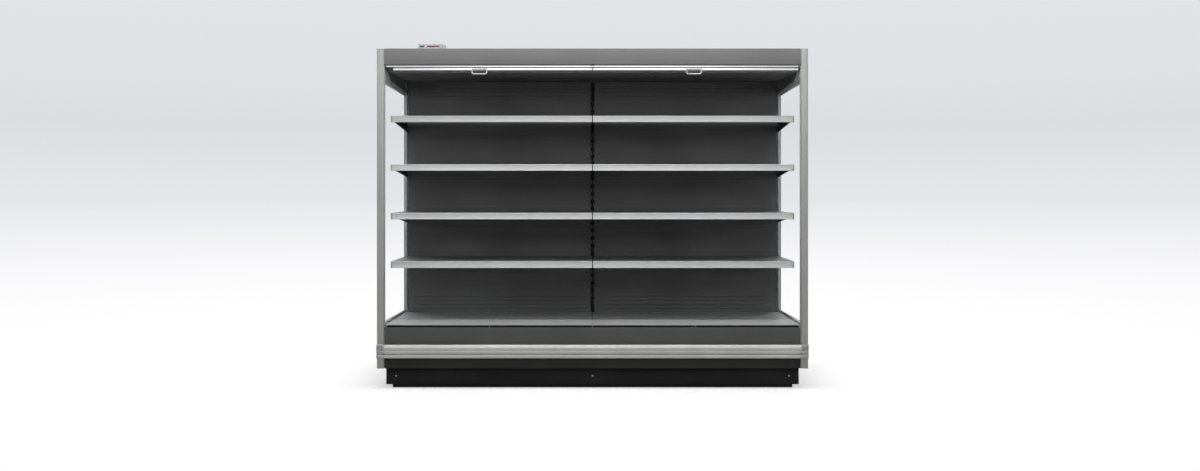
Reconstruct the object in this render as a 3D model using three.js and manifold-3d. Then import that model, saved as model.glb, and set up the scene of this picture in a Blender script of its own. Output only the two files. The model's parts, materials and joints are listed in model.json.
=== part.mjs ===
// Open multideck display fridge: a 2.5 m refrigerated cabinet with two shelf bays, glazed ends,
// a canopy with two pull-down night blinds, and its cooling coil and fans under the deck.
// Lengths are millimetres. X runs along the cabinet and Z up. Y runs from front to back and is
// written as a setback from the front face of the end posts.

import * as THREE from "three";
import { mergeVertices } from "three/addons/utils/BufferGeometryUtils.js";
import Module from "manifold-3d";

const wasm = await Module();
wasm.setup();

// ---------------------------------------------------------------- driving dimensions

// Cabinet
const bayLength = 1250; // one shelf bay, centre line to end panel
const endPanelThickness = 45;
const cabinetHeight = 2047; // floor to the top edge of the fascia
const cabinetDepth = 814; // face of the end posts to the rear skin
const endPanelBottom = 126;
const seat = 0.3; // gap left where two pieces meet
const sheet = 1.5; // folded steel sheet
const wallInsulation = 53; // foamed rear wall
const roofInsulation = 51; // foamed roof panel
const roofCoverGap = 1.8; // fascia's top flange to the foamed roof

// Feet and base frame
const footPadDiameter = 70;
const footPadThickness = 10;
const footCollarDiameter = 30;
const footStemDiameter = 16;
const footStemLength = 50; // the part inside the rail
const stemClearance = 0.3;
const footInset = 150; // from the end of the tub
const baseRailWidth = 40;
const baseRailSheet = 3;
const baseRailBottom = 45;
const rearRailInset = 74; // rear rail's back to the rear skin
const crossMemberWidth = 12;
const crossMemberHeight = 80;
const frameEndInset = 50;

// Insulated tub under the deck
const tubBottom = 150;
const tubFloorThickness = 40;
const tubFrontSetback = 10;
const tubFrontWall = 20;
const tubRearTop = 400;
const drainBore = 32;
const drainWall = 4;
const drainLength = 40;
const drainToRearWall = 201;
const drainFromEnd = 500; // from the right end panel

// Front of the base
const frontPanelSetback = 6;
const frontPanelTop = 372;
const panelJoint = 232; // front panel meets lower panel behind the bumper
const lowerPanelBottom = 126;
const lowerPanelReturn = 30;
const bumperDepth = 26;
const bumperBottom = 188;
const bumperLowRib = 25; // heights of the three ribs
const bumperMiddleRib = 24;
const bumperTopRib = 36;
const bumperGroove = 9; // depth of the grooves between the ribs
const bumperCornerRadius = 18;
const kickPlateSetback = 61;
const kickPlateReturn = 29; // folded back to the base frame's front rail
const kickPlateBottom = 20;
const kickPlateTop = 140;
const kickScrewDiameter = 10;
const kickScrewHead = 3;
const kickScrewHeight = 72;
const kickScrewInset = 60;
const floorSealInset = 38; // from the end panel
const floorSealThickness = 3;
const floorSealSetback = 66;
const floorSealClearance = 1;

// Deck and return air
const deckTop = 382;
const deckSkirt = 30;
const deckSetback = 58;
const deckRearGap = 8; // to the uprights
const deckPansPerBay = 2;
const deckPanGap = 1.2;
const grilleThickness = 3;
const grilleSlotPitch = 100;
const grilleSlotLength = 88;
const grilleRearWeb = 9; // between the slots and the deck's edge

// Fans, in a sloping tray, and the coil behind them
const fanCount = 3;
const fanTraySheet = 2;
const fanTraySlopeRun = 180; // front to back
const fanTrayToCoil = 70;
const fanOpeningDiameter = 176;
const fanTipClearance = 4;
const fanHubDiameter = 60;
const fanHubLength = 26;
const fanBladeCount = 5;
const fanBladePitch = 32; // degrees
const fanBladeChord = 56;
const fanBladeThickness = 2.5;
const fanMotorDiameter = 74;
const fanMotorLength = 50;
const fanMotorStandoff = 6; // motor face to hub
const fanShaftDiameter = 8;
const fanArmWidth = 12;
const fanArmThickness = 3;
const fanPostThickness = 6;
const coilDepth = 290;
const coilRearGap = 10; // behind the coil, under the deck
const coilLift = 14; // fin pack above the tub floor
const coilHeight = 132;
const coilEndInset = 35;
const coilTubeMargin = 22;
const coilTubeBank = 10; // thickness of one bank of tubes
const coilTubeBanks = 2;
const finCount = 30;
const finThickness = 3;
const tubeSheetThickness = 4;

// Back of the display space
const rearDuctDepth = 50; // back panel's face to the rear wall
const backPanelReturn = 20;
const uprightWidth = 24;
const uprightSheet = 2.5;
const uprightProud = 3; // upright's face in front of the back panels
const slotHeight = 30;
const slotWidth = 5;
const slotRows = 30;
const slotRowsPerShelf = 6; // from one shelf to the next, and below the lowest
const sideSlotInset = 10; // slot centre from the end panel
const centreSlotOffset = 6.5; // slot centre from the cabinet's centre line

// Shelves
const shelfLevels = 4;
const lowestShelfAboveDeck = 374;
const topShelfBelowLiner = 264;
const railSetback = 171;
const railDepth = 14.7;
const railHeight = 40;
const railWall = 2;
const railCornerRadius = 12;
const shelfRearGap = 8; // to the uprights
const shelfSkirt = 25;
const shelfEndClearance = 3;
const shelfCentreGap = 5;
const bracketThickness = 3;
const bracketBelowHooks = 24; // bracket's rear edge, below the second hook's top by a slot pitch
const bracketFrontHeight = 28;
const bracketFrontInset = 29; // from the rail's face
const bracketUprightGap = 2;
const hookNeckHeight = 14;
const hookTop = -8; // upper hook's top edge, from the shelf's surface
const hookNose = 10; // how far the hook drops behind the slot
const hookThickness = 5;

// Canopy
const fasciaHeight = 96;
const fasciaTopReturn = 40;
const linerBelowCassette = 17;
const linerThickness = 3;
const linerSetback = 168;
const cheekRearDrop = 70;
const cheekFrontDrop = 48;
const cheekFrontSetback = 166;
const cheekTipSetback = 72;
const outletDepth = 97;
const outletHeight = 12;
const outletCells = 26;
const outletRows = 2;
const outletWeb = 5;

// Night blinds
const cassetteSetback = 12;
const cassetteDepth = 58;
const cassetteHeight = 56.9;
const cassetteWall = 2;
const cassetteFrontLip = 10;
const cassetteSlot = 18;
const cassetteCentrePlate = 10;
const cassetteEndPlate = 5;
const rollerRadius = 18;
const rollerSetback = 46;
const rollerAboveLip = 31; // axis above the cassette's lower edge
const rollerPinDiameter = 8;
const rollerPinClearance = 0.3;
const blindFabricThickness = 1;
const blindFabricInset = 6; // each side of the fabric, from the roller's end
const barHeight = 18;
const barDepth = 14;
const barBevel = 3;
const barGap = 3; // under the cassette
const barEndClearance = 8;
const barCentreClearance = 3; // each side of the centre line
const rollerEndClearance = 4;
const handleWidth = 97;
const handleDrop = 37;
const handleBar = 8;
const handleThickness = 10;
const handleBelowBar = 24;
const handleBehindBarFace = 2;
const leftHandleShift = -55; // from the middle of its bay
const rightHandleShift = -14;

// Glazed ends
const postDepth = 34;
const postCornerRadius = 7;
const windowBottom = 388;
const windowTopFrontDrop = 186; // below the cabinet's top
const windowTopRearDrop = 216;
const windowRearFrame = 60; // solid panel behind the window
const glassThickness = 20;
const glassRecess = 6;

// Electrical tray on the roof
const trayEndInset = 139; // from the left end panel
const trayLength = 189;
const traySetback = 300;
const trayDepth = 100;
const trayHeight = 72;
const trayEndSlope = 14;
const trayWindowHeight = 16;
const trayWindowTop = 5;
const smallWindowStart = 24; // along the tray
const smallWindowLength = 27;
const largeWindowStart = 66;
const largeWindowLength = 80;
const terminalSetback = 20; // terminal blocks behind the tray's front
const terminalDepth = 30;
const terminalFoot = 1; // sunk into the tray's floor
const terminalTopGap = 2; // below the windows' top

// ---------------------------------------------------------------- derived places

const innerHalf = bayLength; // inner face of an end panel
const frontRailSetback = kickPlateSetback + kickPlateReturn;
const rearRailSetback = cabinetDepth - rearRailInset - baseRailWidth;
const fillHalf = innerHalf - seat; // what fits between the end panels
const outerHalf = innerHalf + endPanelThickness;
const tubFloor = tubBottom + tubFloorThickness;
const deckSeat = deckTop - deckSkirt;
const bearingTop = deckSeat - seat; // what the deck pans stand on
const grilleUnder = bearingTop - grilleThickness;
const rearWallFront = cabinetDepth - wallInsulation;
const drainSetback = rearWallFront - drainToRearWall;
const drainPlace = innerHalf - drainFromEnd;
const backPanelSetback = rearWallFront - rearDuctDepth;
const roofTop = cabinetHeight - roofCoverGap;
const roofUnder = roofTop - roofInsulation;
const uprightFront = backPanelSetback - uprightProud;
const deckRear = uprightFront - deckRearGap;
const shelfRear = uprightFront - shelfRearGap;
const coilSetback = deckRear - coilRearGap - coilDepth;
const fanTraySlopeFoot = coilSetback - fanTrayToCoil;
const fanTraySlopeTop = fanTraySlopeFoot - fanTraySlopeRun; // setback of the tray's upper edge
const fasciaBottom = cabinetHeight - fasciaHeight;
const cassetteTop = roofUnder - seat;
const cassetteBottom = cassetteTop - cassetteHeight;
const linerLevel = cassetteBottom - linerBelowCassette;
const lowestShelfTop = deckTop + lowestShelfAboveDeck;
const shelfRise = linerLevel - topShelfBelowLiner - lowestShelfTop; // lowest shelf to the top one
const shelfSpacing = shelfRise / (shelfLevels - 1);
const slotPitch = shelfSpacing / slotRowsPerShelf;
const bracketRear = uprightFront - bracketUprightGap;
const bracketRearHeight = slotPitch + bracketBelowHooks;
const bracketFrontSetback = railSetback + bracketFrontInset;
const slotBelowHook = hookTop - hookNeckHeight - seat; // slot's lower edge, from the shelf's surface
const lowestSlot = lowestShelfTop + slotBelowHook - slotRowsPerShelf * slotPitch;
const shelfFront = railSetback + railDepth + seat;
const shelfLevelTop = (level) => lowestShelfTop + (shelfLevels - level) * shelfSpacing;
const rollerHeight = cassetteBottom + rollerAboveLip;
const barTop = cassetteBottom - barGap;
const fabricSetback = rollerSetback - rollerRadius - seat - blindFabricThickness;
const barSetback = fabricSetback + blindFabricThickness / 2 - barDepth / 2;
const windowTopFront = cabinetHeight - windowTopFrontDrop;
const windowTopRear = cabinetHeight - windowTopRearDrop;
const windowRear = cabinetDepth - windowRearFrame;

// ---------------------------------------------------------------- solids

// A closed geometry as a solid that can be joined and cut.
function solid(geometry) {
  const bare = geometry.index ? geometry.toNonIndexed() : geometry.clone();
  bare.deleteAttribute("normal");
  bare.deleteAttribute("uv");
  const merged = mergeVertices(bare, 1e-4);
  const vertProperties = merged.getAttribute("position").array;
  const triVerts = new Uint32Array(merged.index.array);
  return new wasm.Manifold(new wasm.Mesh({ numProp: 3, vertProperties, triVerts }));
}

function geometryOf(made) {
  const mesh = made.getMesh();
  const geometry = new THREE.BufferGeometry();
  geometry.setAttribute("position", new THREE.BufferAttribute(mesh.vertProperties, 3));
  geometry.setIndex(new THREE.BufferAttribute(mesh.triVerts, 1));
  return geometry;
}

const join = (...parts) => parts.reduce((all, part) => all.add(part));
const cut = (body, ...tools) => tools.reduce((rest, tool) => rest.subtract(tool), body);

// A box from its two ends along each axis.
function block([x0, x1], [y0, y1], [z0, z1]) {
  const box = new THREE.BoxGeometry(x1 - x0, y1 - y0, z1 - z0);
  return solid(box.translate((x0 + x1) / 2, (y0 + y1) / 2, (z0 + z1) / 2));
}

function prism(outline, length) {
  const shape = new THREE.Shape(outline.map(([u, v]) => new THREE.Vector2(u, v)));
  return new THREE.ExtrudeGeometry(shape, { depth: length, bevelEnabled: false });
}

// An outline in (y, z), swept along X.
function alongX(outline, from, to) {
  const axes = new THREE.Matrix4().set(0, 0, 1, from, 1, 0, 0, 0, 0, 1, 0, 0, 0, 0, 0, 1);
  return solid(prism(outline, to - from).applyMatrix4(axes));
}

// An outline in (x, z), swept along Y.
function alongY(outline, from, to) {
  return solid(prism(outline, to - from).rotateX(Math.PI / 2).translate(0, to, 0));
}

// An outline in (x, y), swept along Z.
function alongZ(outline, from, to) {
  return solid(prism(outline, to - from).translate(0, 0, from));
}

function rodX(radius, from, to, y, z, sides = 24) {
  const rod = new THREE.CylinderGeometry(radius, radius, to - from, sides);
  return solid(rod.rotateZ(Math.PI / 2).translate((from + to) / 2, y, z));
}

function rodZ(radius, from, to, x, y, sides = 24) {
  const rod = new THREE.CylinderGeometry(radius, radius, to - from, sides);
  return solid(rod.rotateX(Math.PI / 2).translate(x, y, (from + to) / 2));
}

// The closed outline of a folded sheet: a path of bends, with the sheet's thickness on its left.
function foldedSheet(path, thickness) {
  const normals = path.slice(1).map(([x, y], i) => {
    const run = new THREE.Vector2(x - path[i][0], y - path[i][1]).normalize();
    return new THREE.Vector2(-run.y, run.x);
  });
  const inside = path.map(([x, y], i) => {
    const before = normals[Math.max(i - 1, 0)];
    const after = normals[Math.min(i, normals.length - 1)];
    const mitre = before.clone().add(after);
    mitre.multiplyScalar(thickness / (1 + before.dot(after)));
    return [x + mitre.x, y + mitre.y];
  });
  return [...path, ...inside.reverse()];
}

// Points of an arc, angles in degrees.
function arc(centreU, centreV, radiusU, radiusV, from, to, steps) {
  return Array.from({ length: steps + 1 }, (_, i) => {
    const angle = THREE.MathUtils.degToRad(from + ((to - from) * i) / steps);
    return [centreU + radiusU * Math.cos(angle), centreV + radiusV * Math.sin(angle)];
  });
}

// ---------------------------------------------------------------- finishes

const finish = (color, roughness, metalness) => ({ color, roughness, metalness });
const finishes = {
  anodised: finish(0xb4b5b3, 0.35, 0.85),
  greyPaint: finish(0x7b7b7b, 0.5, 0.2),
  darkPaint: finish(0x4a4a4a, 0.5, 0.2),
  panelPaint: finish(0x3b3b3b, 0.6, 0.2),
  blackPaint: finish(0x1f1f1f, 0.6, 0.2),
  blackPlastic: finish(0x161616, 0.6, 0),
  galvanised: finish(0xa6a9a8, 0.45, 0.8),
  foamSkin: finish(0xb9bbba, 0.55, 0.1),
  steel: finish(0x8d8f8f, 0.4, 0.8),
  glass: finish(0xdfe6e4, 0.05, 0),
  rubber: finish(0x121212, 0.8, 0),
  blindFabric: finish(0xc9cbc8, 0.8, 0.1),
  coil: finish(0x9aa0a0, 0.4, 0.8),
};

const cabinet = new THREE.Group();
const fridge = new THREE.Group();
fridge.add(cabinet);

// Adds one named piece to a group.
function place(group, name, made, look) {
  const values = finishes[look];
  const mesh = new THREE.Mesh(geometryOf(made), new THREE.MeshStandardMaterial({ ...values }));
  mesh.name = name;
  group.add(mesh);
  return mesh;
}

// ---------------------------------------------------------------- base

function levellingFoot() {
  const pad = footPadDiameter / 2;
  const collar = footCollarDiameter / 2;
  const stem = footStemDiameter / 2;
  const shoulder = baseRailBottom - seat;
  const profile = [
    [0, 0],
    [pad, 0],
    [pad, footPadThickness / 2],
    [collar, footPadThickness],
    [collar, shoulder],
    [stem, shoulder],
    [stem, shoulder + footStemLength],
    [0, shoulder + footStemLength],
  ];
  const points = profile.map(([r, z]) => new THREE.Vector2(r, z));
  return solid(new THREE.LatheGeometry(points, 16).rotateX(Math.PI / 2));
}

const footPlaces = [];
for (const side of [-1, 1]) {
  for (const rail of [frontRailSetback, rearRailSetback]) {
    footPlaces.push([side * (innerHalf - footInset), rail + baseRailWidth / 2]);
  }
}

function baseFrame() {
  const half = innerHalf - frameEndInset;
  const top = tubBottom - seat;
  // Channels that stand on their backs, open towards the middle of the cabinet.
  const rail = (web, toward) => {
    const edge = web + toward * baseRailWidth;
    const path = [
      [edge, baseRailBottom],
      [web, baseRailBottom],
      [web, top],
      [edge, top],
    ];
    return alongX(foldedSheet(path, -toward * baseRailSheet), -half, half);
  };
  const crossAt = (x) =>
    block(
      [x - crossMemberWidth / 2, x + crossMemberWidth / 2],
      [frontRailSetback + baseRailSheet / 2, rearRailSetback + baseRailWidth - baseRailSheet / 2],
      [top - crossMemberHeight, top],
    );
  const endCross = half - crossMemberWidth / 2;
  const frame = join(
    rail(frontRailSetback, 1),
    rail(rearRailSetback + baseRailWidth, -1),
    crossAt(-endCross),
    crossAt(0),
    crossAt(endCross),
  );
  const holeTop = baseRailBottom + footStemLength + seat;
  const holes = footPlaces.map(([x, y]) =>
    rodZ(footStemDiameter / 2 + stemClearance, baseRailBottom - 1, holeTop, x, y, 16),
  );
  return cut(frame, ...holes);
}

// Floor, front wall and rear upstand in one foamed shell, with its drain spout.
function insulatedTub() {
  const wallTop = grilleUnder - seat;
  const section = [
    [tubFrontSetback, tubBottom],
    [cabinetDepth, tubBottom],
    [cabinetDepth, tubRearTop],
    [rearWallFront, tubRearTop],
    [rearWallFront, tubFloor],
    [tubFrontSetback + tubFrontWall, tubFloor],
    [tubFrontSetback + tubFrontWall, wallTop],
    [tubFrontSetback, wallTop],
  ];
  const spoutRadius = drainBore / 2 + drainWall;
  const spoutTop = tubBottom + tubFloorThickness / 2;
  const shell = join(
    alongX(section, -fillHalf, fillHalf),
    rodZ(spoutRadius, tubBottom - drainLength, spoutTop, drainPlace, drainSetback),
  );
  const boreFoot = tubBottom - drainLength - 1;
  return cut(shell, rodZ(drainBore / 2, boreFoot, tubFloor + 1, drainPlace, drainSetback));
}

function frontPanel() {
  const face = frontPanelSetback;
  const back = tubFrontSetback - seat;
  const path = [
    [back, panelJoint + seat],
    [face, panelJoint + seat],
    [face, frontPanelTop],
    [back, frontPanelTop],
  ];
  return alongX(foldedSheet(path.reverse(), sheet), -fillHalf, fillHalf);
}

function lowerPanel() {
  const face = frontPanelSetback;
  const path = [
    [tubFrontSetback - seat, panelJoint],
    [face, panelJoint],
    [face, lowerPanelBottom],
    [face + lowerPanelReturn, lowerPanelBottom],
  ];
  return alongX(foldedSheet(path, sheet), -fillHalf, fillHalf);
}

// Ribbed protection strip across the whole front, with rounded ends.
function bumper() {
  const back = -seat;
  const outline = [[back, bumperBottom]];
  let level = bumperBottom;
  for (const height of [bumperLowRib, bumperMiddleRib, bumperTopRib]) {
    const rib = arc(
      -(bumperDepth - bumperGroove),
      level + height / 2,
      bumperGroove,
      height / 2,
      270,
      90,
      8,
    );
    outline.push(...rib);
    level += height;
  }
  outline.push([back, level]);
  const rounded = [
    [-outerHalf, back],
    ...arc(
      -outerHalf + bumperCornerRadius,
      -bumperDepth + bumperCornerRadius,
      bumperCornerRadius,
      bumperCornerRadius,
      180,
      270,
      6,
    ),
    ...arc(
      outerHalf - bumperCornerRadius,
      -bumperDepth + bumperCornerRadius,
      bumperCornerRadius,
      bumperCornerRadius,
      270,
      360,
      6,
    ),
    [outerHalf, back],
  ];
  const strip = alongX(outline, -outerHalf, outerHalf);
  return strip.intersect(alongZ(rounded, bumperBottom - 1, level + 1));
}

// Kick plate with its three screws and the seal that hangs to the floor.
function kickPlate() {
  const back = frontRailSetback - seat;
  const path = [
    [back, kickPlateTop],
    [kickPlateSetback, kickPlateTop],
    [kickPlateSetback, kickPlateBottom],
    [back, kickPlateBottom],
  ];
  const plate = alongX(foldedSheet(path, sheet), -innerHalf, innerHalf);
  const sealHalf = innerHalf - floorSealInset;
  const seal = block(
    [-sealHalf, sealHalf],
    [floorSealSetback, floorSealSetback + floorSealThickness],
    [floorSealClearance, kickPlateBottom + sheet / 2],
  );
  const screwAt = (x) => {
    const radius = kickScrewDiameter / 2;
    const head = new THREE.CylinderGeometry(radius, radius * 0.6, kickScrewHead + sheet, 12);
    return solid(head.translate(x, kickPlateSetback + (sheet - kickScrewHead) / 2, kickScrewHeight));
  };
  const reach = innerHalf - kickScrewInset;
  return join(plate, seal, screwAt(-reach), screwAt(0), screwAt(reach));
}

// ---------------------------------------------------------------- deck and cooling

function deckPan(length) {
  const half = length / 2;
  const shell = block([-half, half], [deckSetback, deckRear], [deckSeat, deckTop]);
  const hollow = block(
    [-half + sheet, half - sheet],
    [deckSetback + sheet, deckRear - sheet],
    [deckSeat - 1, deckTop - sheet],
  );
  return cut(shell, hollow);
}

// Strip that carries the deck's front edge, slotted in the gap in front of the deck.
function returnGrille() {
  const strip = block(
    [-fillHalf, fillHalf],
    [tubFrontSetback, fanTraySlopeTop],
    [grilleUnder, bearingTop],
  );
  const slotFrom = tubFrontSetback + tubFrontWall;
  const slotTo = deckSetback - seat - grilleRearWeb;
  const count = Math.floor((2 * fillHalf - grilleSlotPitch) / grilleSlotPitch);
  const slots = Array.from({ length: count }, (_, i) => {
    const x = (i - (count - 1) / 2) * grilleSlotPitch;
    return block(
      [x - grilleSlotLength / 2, x + grilleSlotLength / 2],
      [slotFrom, slotTo],
      [grilleUnder - 1, bearingTop + 1],
    );
  });
  return cut(strip, ...slots);
}

const traySlope = Math.atan2(bearingTop - tubFloor, fanTraySlopeFoot - fanTraySlopeTop);
const fanSetback = (fanTraySlopeTop + fanTraySlopeFoot) / 2;
const fanHeight = (bearingTop + tubFloor + seat) / 2;
const fanPlaces = Array.from(
  { length: fanCount },
  (_, i) => ((2 * i + 1) / fanCount - 1) * innerHalf,
);

// Takes a piece drawn about Z, with its air leaving along +Z, to a fan's place in the tray.
function fanMatrix(x) {
  const matrix = new THREE.Matrix4().makeRotationX(-traySlope);
  return matrix.setPosition(x, fanSetback, fanHeight);
}

function placed(geometry, matrix) {
  return solid(geometry.applyMatrix4(matrix));
}

function cylinderZ(radius, from, to, sides) {
  const rod = new THREE.CylinderGeometry(radius, radius, to - from, sides);
  return rod.rotateX(Math.PI / 2).translate(0, 0, (from + to) / 2);
}

// Sloping sheet with a round opening for each fan, and the motors on arms below the openings.
function fanTray() {
  const foot = tubFloor + seat;
  const half = fillHalf - seat;
  const path = [
    [fanTraySlopeFoot, foot],
    [fanTraySlopeTop, bearingTop],
  ];
  const past = [-outerHalf, outerHalf];
  const beyond = fanTraySlopeTop + seat; // the sheet's ends are cut square to what they meet
  let tray = cut(
    alongX(foldedSheet(path, fanTraySheet), -half, half),
    block(past, [0, cabinetDepth], [0, foot]),
    block(past, [0, beyond], [0, cabinetHeight]),
  );
  const opening = fanOpeningDiameter / 2;
  const motorTop = -fanMotorStandoff;
  const motorFoot = motorTop - fanMotorLength;
  for (const x of fanPlaces) {
    const matrix = fanMatrix(x);
    const hole = cylinderZ(opening, -fanTraySheet * 3, fanTraySheet * 3, 28);
    tray = cut(tray, placed(hole, matrix));
    const motor = cylinderZ(fanMotorDiameter / 2, motorFoot, motorTop, 20);
    const shaft = cylinderZ(fanShaftDiameter / 2, motorTop - 1, fanHubLength / 2, 12);
    const reach = opening + fanArmWidth;
    const armLevel = motorFoot + fanArmThickness;
    const arm = new THREE.BoxGeometry(2 * reach, fanArmWidth, fanArmThickness);
    arm.translate(0, 0, armLevel);
    const post = (side) => {
      const rise = new THREE.BoxGeometry(fanPostThickness, fanArmWidth, -armLevel);
      return rise.translate(side * (reach - fanPostThickness / 2), 0, armLevel / 2);
    };
    const pieces = [motor, shaft, arm, post(-1), post(1)];
    tray = join(tray, ...pieces.map((piece) => placed(piece, matrix)));
  }
  return tray;
}

function fanRotor() {
  const tip = fanOpeningDiameter / 2 - fanTipClearance;
  const hub = fanHubDiameter / 2;
  let rotor = solid(cylinderZ(hub, 0, fanHubLength, 20));
  for (let i = 0; i < fanBladeCount; i += 1) {
    const span = tip - hub / 2;
    const blade = new THREE.BoxGeometry(span, fanBladeChord, fanBladeThickness);
    blade.rotateX(THREE.MathUtils.degToRad(fanBladePitch));
    blade.translate(hub / 2 + span / 2, 0, fanHubLength / 2);
    blade.rotateZ((2 * Math.PI * i) / fanBladeCount);
    rotor = join(rotor, solid(blade));
  }
  const sweep = solid(cylinderZ(tip, -fanBladeChord, fanBladeChord, 28));
  const bore = solid(cylinderZ(fanShaftDiameter / 2 + seat, -1, fanHubLength / 2 + seat, 12));
  return cut(rotor.intersect(sweep), bore);
}

// Finned coil on tube sheets that stand on the tub floor and carry the deck pans.
function evaporatorCoil() {
  const half = innerHalf - coilEndInset;
  const low = tubFloor + coilLift;
  const high = low + coilHeight;
  const banks = Array.from({ length: coilTubeBanks }, (_, i) => {
    const middle = low + (coilHeight * (i + 1)) / (coilTubeBanks + 1);
    return block(
      [-half, half],
      [coilSetback + coilTubeMargin, coilSetback + coilDepth - coilTubeMargin],
      [middle - coilTubeBank / 2, middle + coilTubeBank / 2],
    );
  });
  const span = [coilSetback, coilSetback + coilDepth];
  const fins = Array.from({ length: finCount }, (_, i) => {
    const x = (((2 * i + 1) / finCount) - 1) * (half - tubeSheetThickness);
    return block([x - finThickness / 2, x + finThickness / 2], span, [low, high]);
  });
  const sheetPlaces = [-half, -bayLength / 2, 0, bayLength / 2, half - tubeSheetThickness];
  const sheets = sheetPlaces.map((x) => {
    const from = x === 0 || Math.abs(x) === bayLength / 2 ? x - tubeSheetThickness / 2 : x;
    return block([from, from + tubeSheetThickness], span, [tubFloor + seat, deckSeat - seat]);
  });
  return join(...banks, ...fins, ...sheets);
}

// ---------------------------------------------------------------- back of the display space

// Channel open to the rear, with a column of slots at each given place.
function upright(slotCentres) {
  const half = uprightWidth / 2;
  const back = rearWallFront - seat;
  const path = [
    [half, back],
    [half, uprightFront],
    [-half, uprightFront],
    [-half, back],
  ];
  const channel = alongZ(
    foldedSheet(path.reverse(), uprightSheet),
    tubFloor + seat,
    roofUnder - seat,
  );
  const slots = slotCentres.flatMap((x) =>
    Array.from({ length: slotRows }, (_, row) => {
      const low = lowestSlot + row * slotPitch;
      return block(
        [x - slotWidth / 2, x + slotWidth / 2],
        [uprightFront - 1, uprightFront + uprightSheet + 1],
        [low, low + slotHeight],
      );
    }),
  );
  return cut(channel, ...slots);
}

function backPanel(from, to) {
  const back = backPanelSetback + backPanelReturn;
  const path = [
    [from, back],
    [from, backPanelSetback],
    [to, backPanelSetback],
    [to, back],
  ];
  return alongZ(foldedSheet(path, sheet), deckSeat, linerLevel - seat);
}

// ---------------------------------------------------------------- shelves

// A hooked bracket as an outline in (y, z), with z from the shelf's surface.
function bracketOutline() {
  const web = uprightFront + uprightSheet + seat;
  const hook = (top) => [
    [bracketRear, top],
    [web + hookThickness, top],
    [web + hookThickness, top - hookNeckHeight - hookNose],
    [web, top - hookNeckHeight - hookNose],
    [web, top - hookNeckHeight],
    [bracketRear, top - hookNeckHeight],
  ];
  return [
    [bracketRear, -sheet / 2],
    ...hook(hookTop),
    ...hook(hookTop - slotPitch),
    [bracketRear, -bracketRearHeight],
    [bracketFrontSetback, -bracketFrontHeight],
    [bracketFrontSetback, -sheet / 2],
  ];
}

// Folded shelf with a bracket near each end. The bay's centre line end is at the low X.
function shelf() {
  const from = shelfCentreGap / 2;
  const to = innerHalf - shelfEndClearance;
  const tray = cut(
    block([from, to], [shelfFront, shelfRear], [-shelfSkirt, 0]),
    block(
      [from + sheet, to - sheet],
      [shelfFront + sheet, shelfRear - sheet],
      [-shelfSkirt - 1, -sheet],
    ),
  );
  const bracketAt = (x) =>
    alongX(bracketOutline(), x - bracketThickness / 2, x + bracketThickness / 2);
  return join(tray, bracketAt(centreSlotOffset), bracketAt(innerHalf - sideSlotInset));
}

// Ticket rail along the shelf's front: a channel with a rounded corner at the outer end.
function priceRail() {
  const from = shelfCentreGap / 2;
  const to = innerHalf - shelfEndClearance;
  const front = railSetback;
  const back = railSetback + railDepth;
  const nose = railDepth / 3;
  const path = [
    [back, 0],
    [front + nose, 0],
    [front, -nose],
    [front, -railHeight + nose],
    [front + nose, -railHeight],
    [back, -railHeight],
  ];
  const channel = alongX(foldedSheet(path, railWall), from, to);
  const closed = alongX(path, from, to);
  const ends = [
    block([from, from + railWall], [front, back], [-railHeight, 0]),
    block([to - railCornerRadius, to], [front, back], [-railHeight, 0]),
  ];
  const plan = [
    [from, front],
    ...arc(
      to - railCornerRadius,
      front + railCornerRadius,
      railCornerRadius,
      railCornerRadius,
      270,
      360,
      6,
    ),
    [to, back],
    [from, back],
  ];
  const capped = join(channel, ...ends.map((end) => end.intersect(closed)));
  return capped.intersect(alongZ(plan, -railHeight - 1, 1));
}

// The same piece for the other bay: a mirror image in the cabinet's centre plane.
function mirrored(made) {
  return made.mirror([1, 0, 0]);
}

// ---------------------------------------------------------------- canopy and blinds

function fascia() {
  const path = [
    [cassetteSetback - seat, fasciaBottom],
    [0, fasciaBottom],
    [0, cabinetHeight],
    [fasciaTopReturn, cabinetHeight],
  ];
  return alongX(foldedSheet(path.reverse(), sheet), -fillHalf, fillHalf);
}

// Black lining under the canopy, with a tapering cheek down each end panel.
function canopyLiner() {
  const back = uprightFront - seat;
  const top = linerLevel + linerThickness;
  const plate = block([-fillHalf, fillHalf], [linerSetback, back], [linerLevel, top]);
  const cheek = [
    [linerSetback, top],
    [back, top],
    [back, linerLevel - cheekRearDrop],
    [cheekFrontSetback, linerLevel - cheekFrontDrop],
    [cheekTipSetback, linerLevel - seat],
    [linerSetback, linerLevel - seat],
  ];
  return join(
    plate,
    alongX(cheek, -fillHalf, -fillHalf + linerThickness),
    alongX(cheek, fillHalf - linerThickness, fillHalf),
  );
}

// Grid of cells that the cold air falls through, between the blind cassette and the lining.
function airOutlet() {
  const half = fillHalf - seat;
  const front = cassetteSetback + cassetteDepth + seat;
  const back = linerSetback - seat;
  const frame = block([-half, half], [front, back], [linerLevel, linerLevel + outletHeight]);
  const cellLength = (2 * half - outletWeb) / outletCells;
  const cellDepth = (back - front - outletWeb) / outletRows;
  const cells = [];
  for (let i = 0; i < outletCells; i += 1) {
    for (let row = 0; row < outletRows; row += 1) {
      const x = -half + outletWeb + i * cellLength;
      const y = front + outletWeb + row * cellDepth;
      cells.push(
        block(
          [x, x + cellLength - outletWeb],
          [y, y + cellDepth - outletWeb],
          [linerLevel - 1, linerLevel + outletHeight + 1],
        ),
      );
    }
  }
  return cut(frame, ...cells);
}

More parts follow.
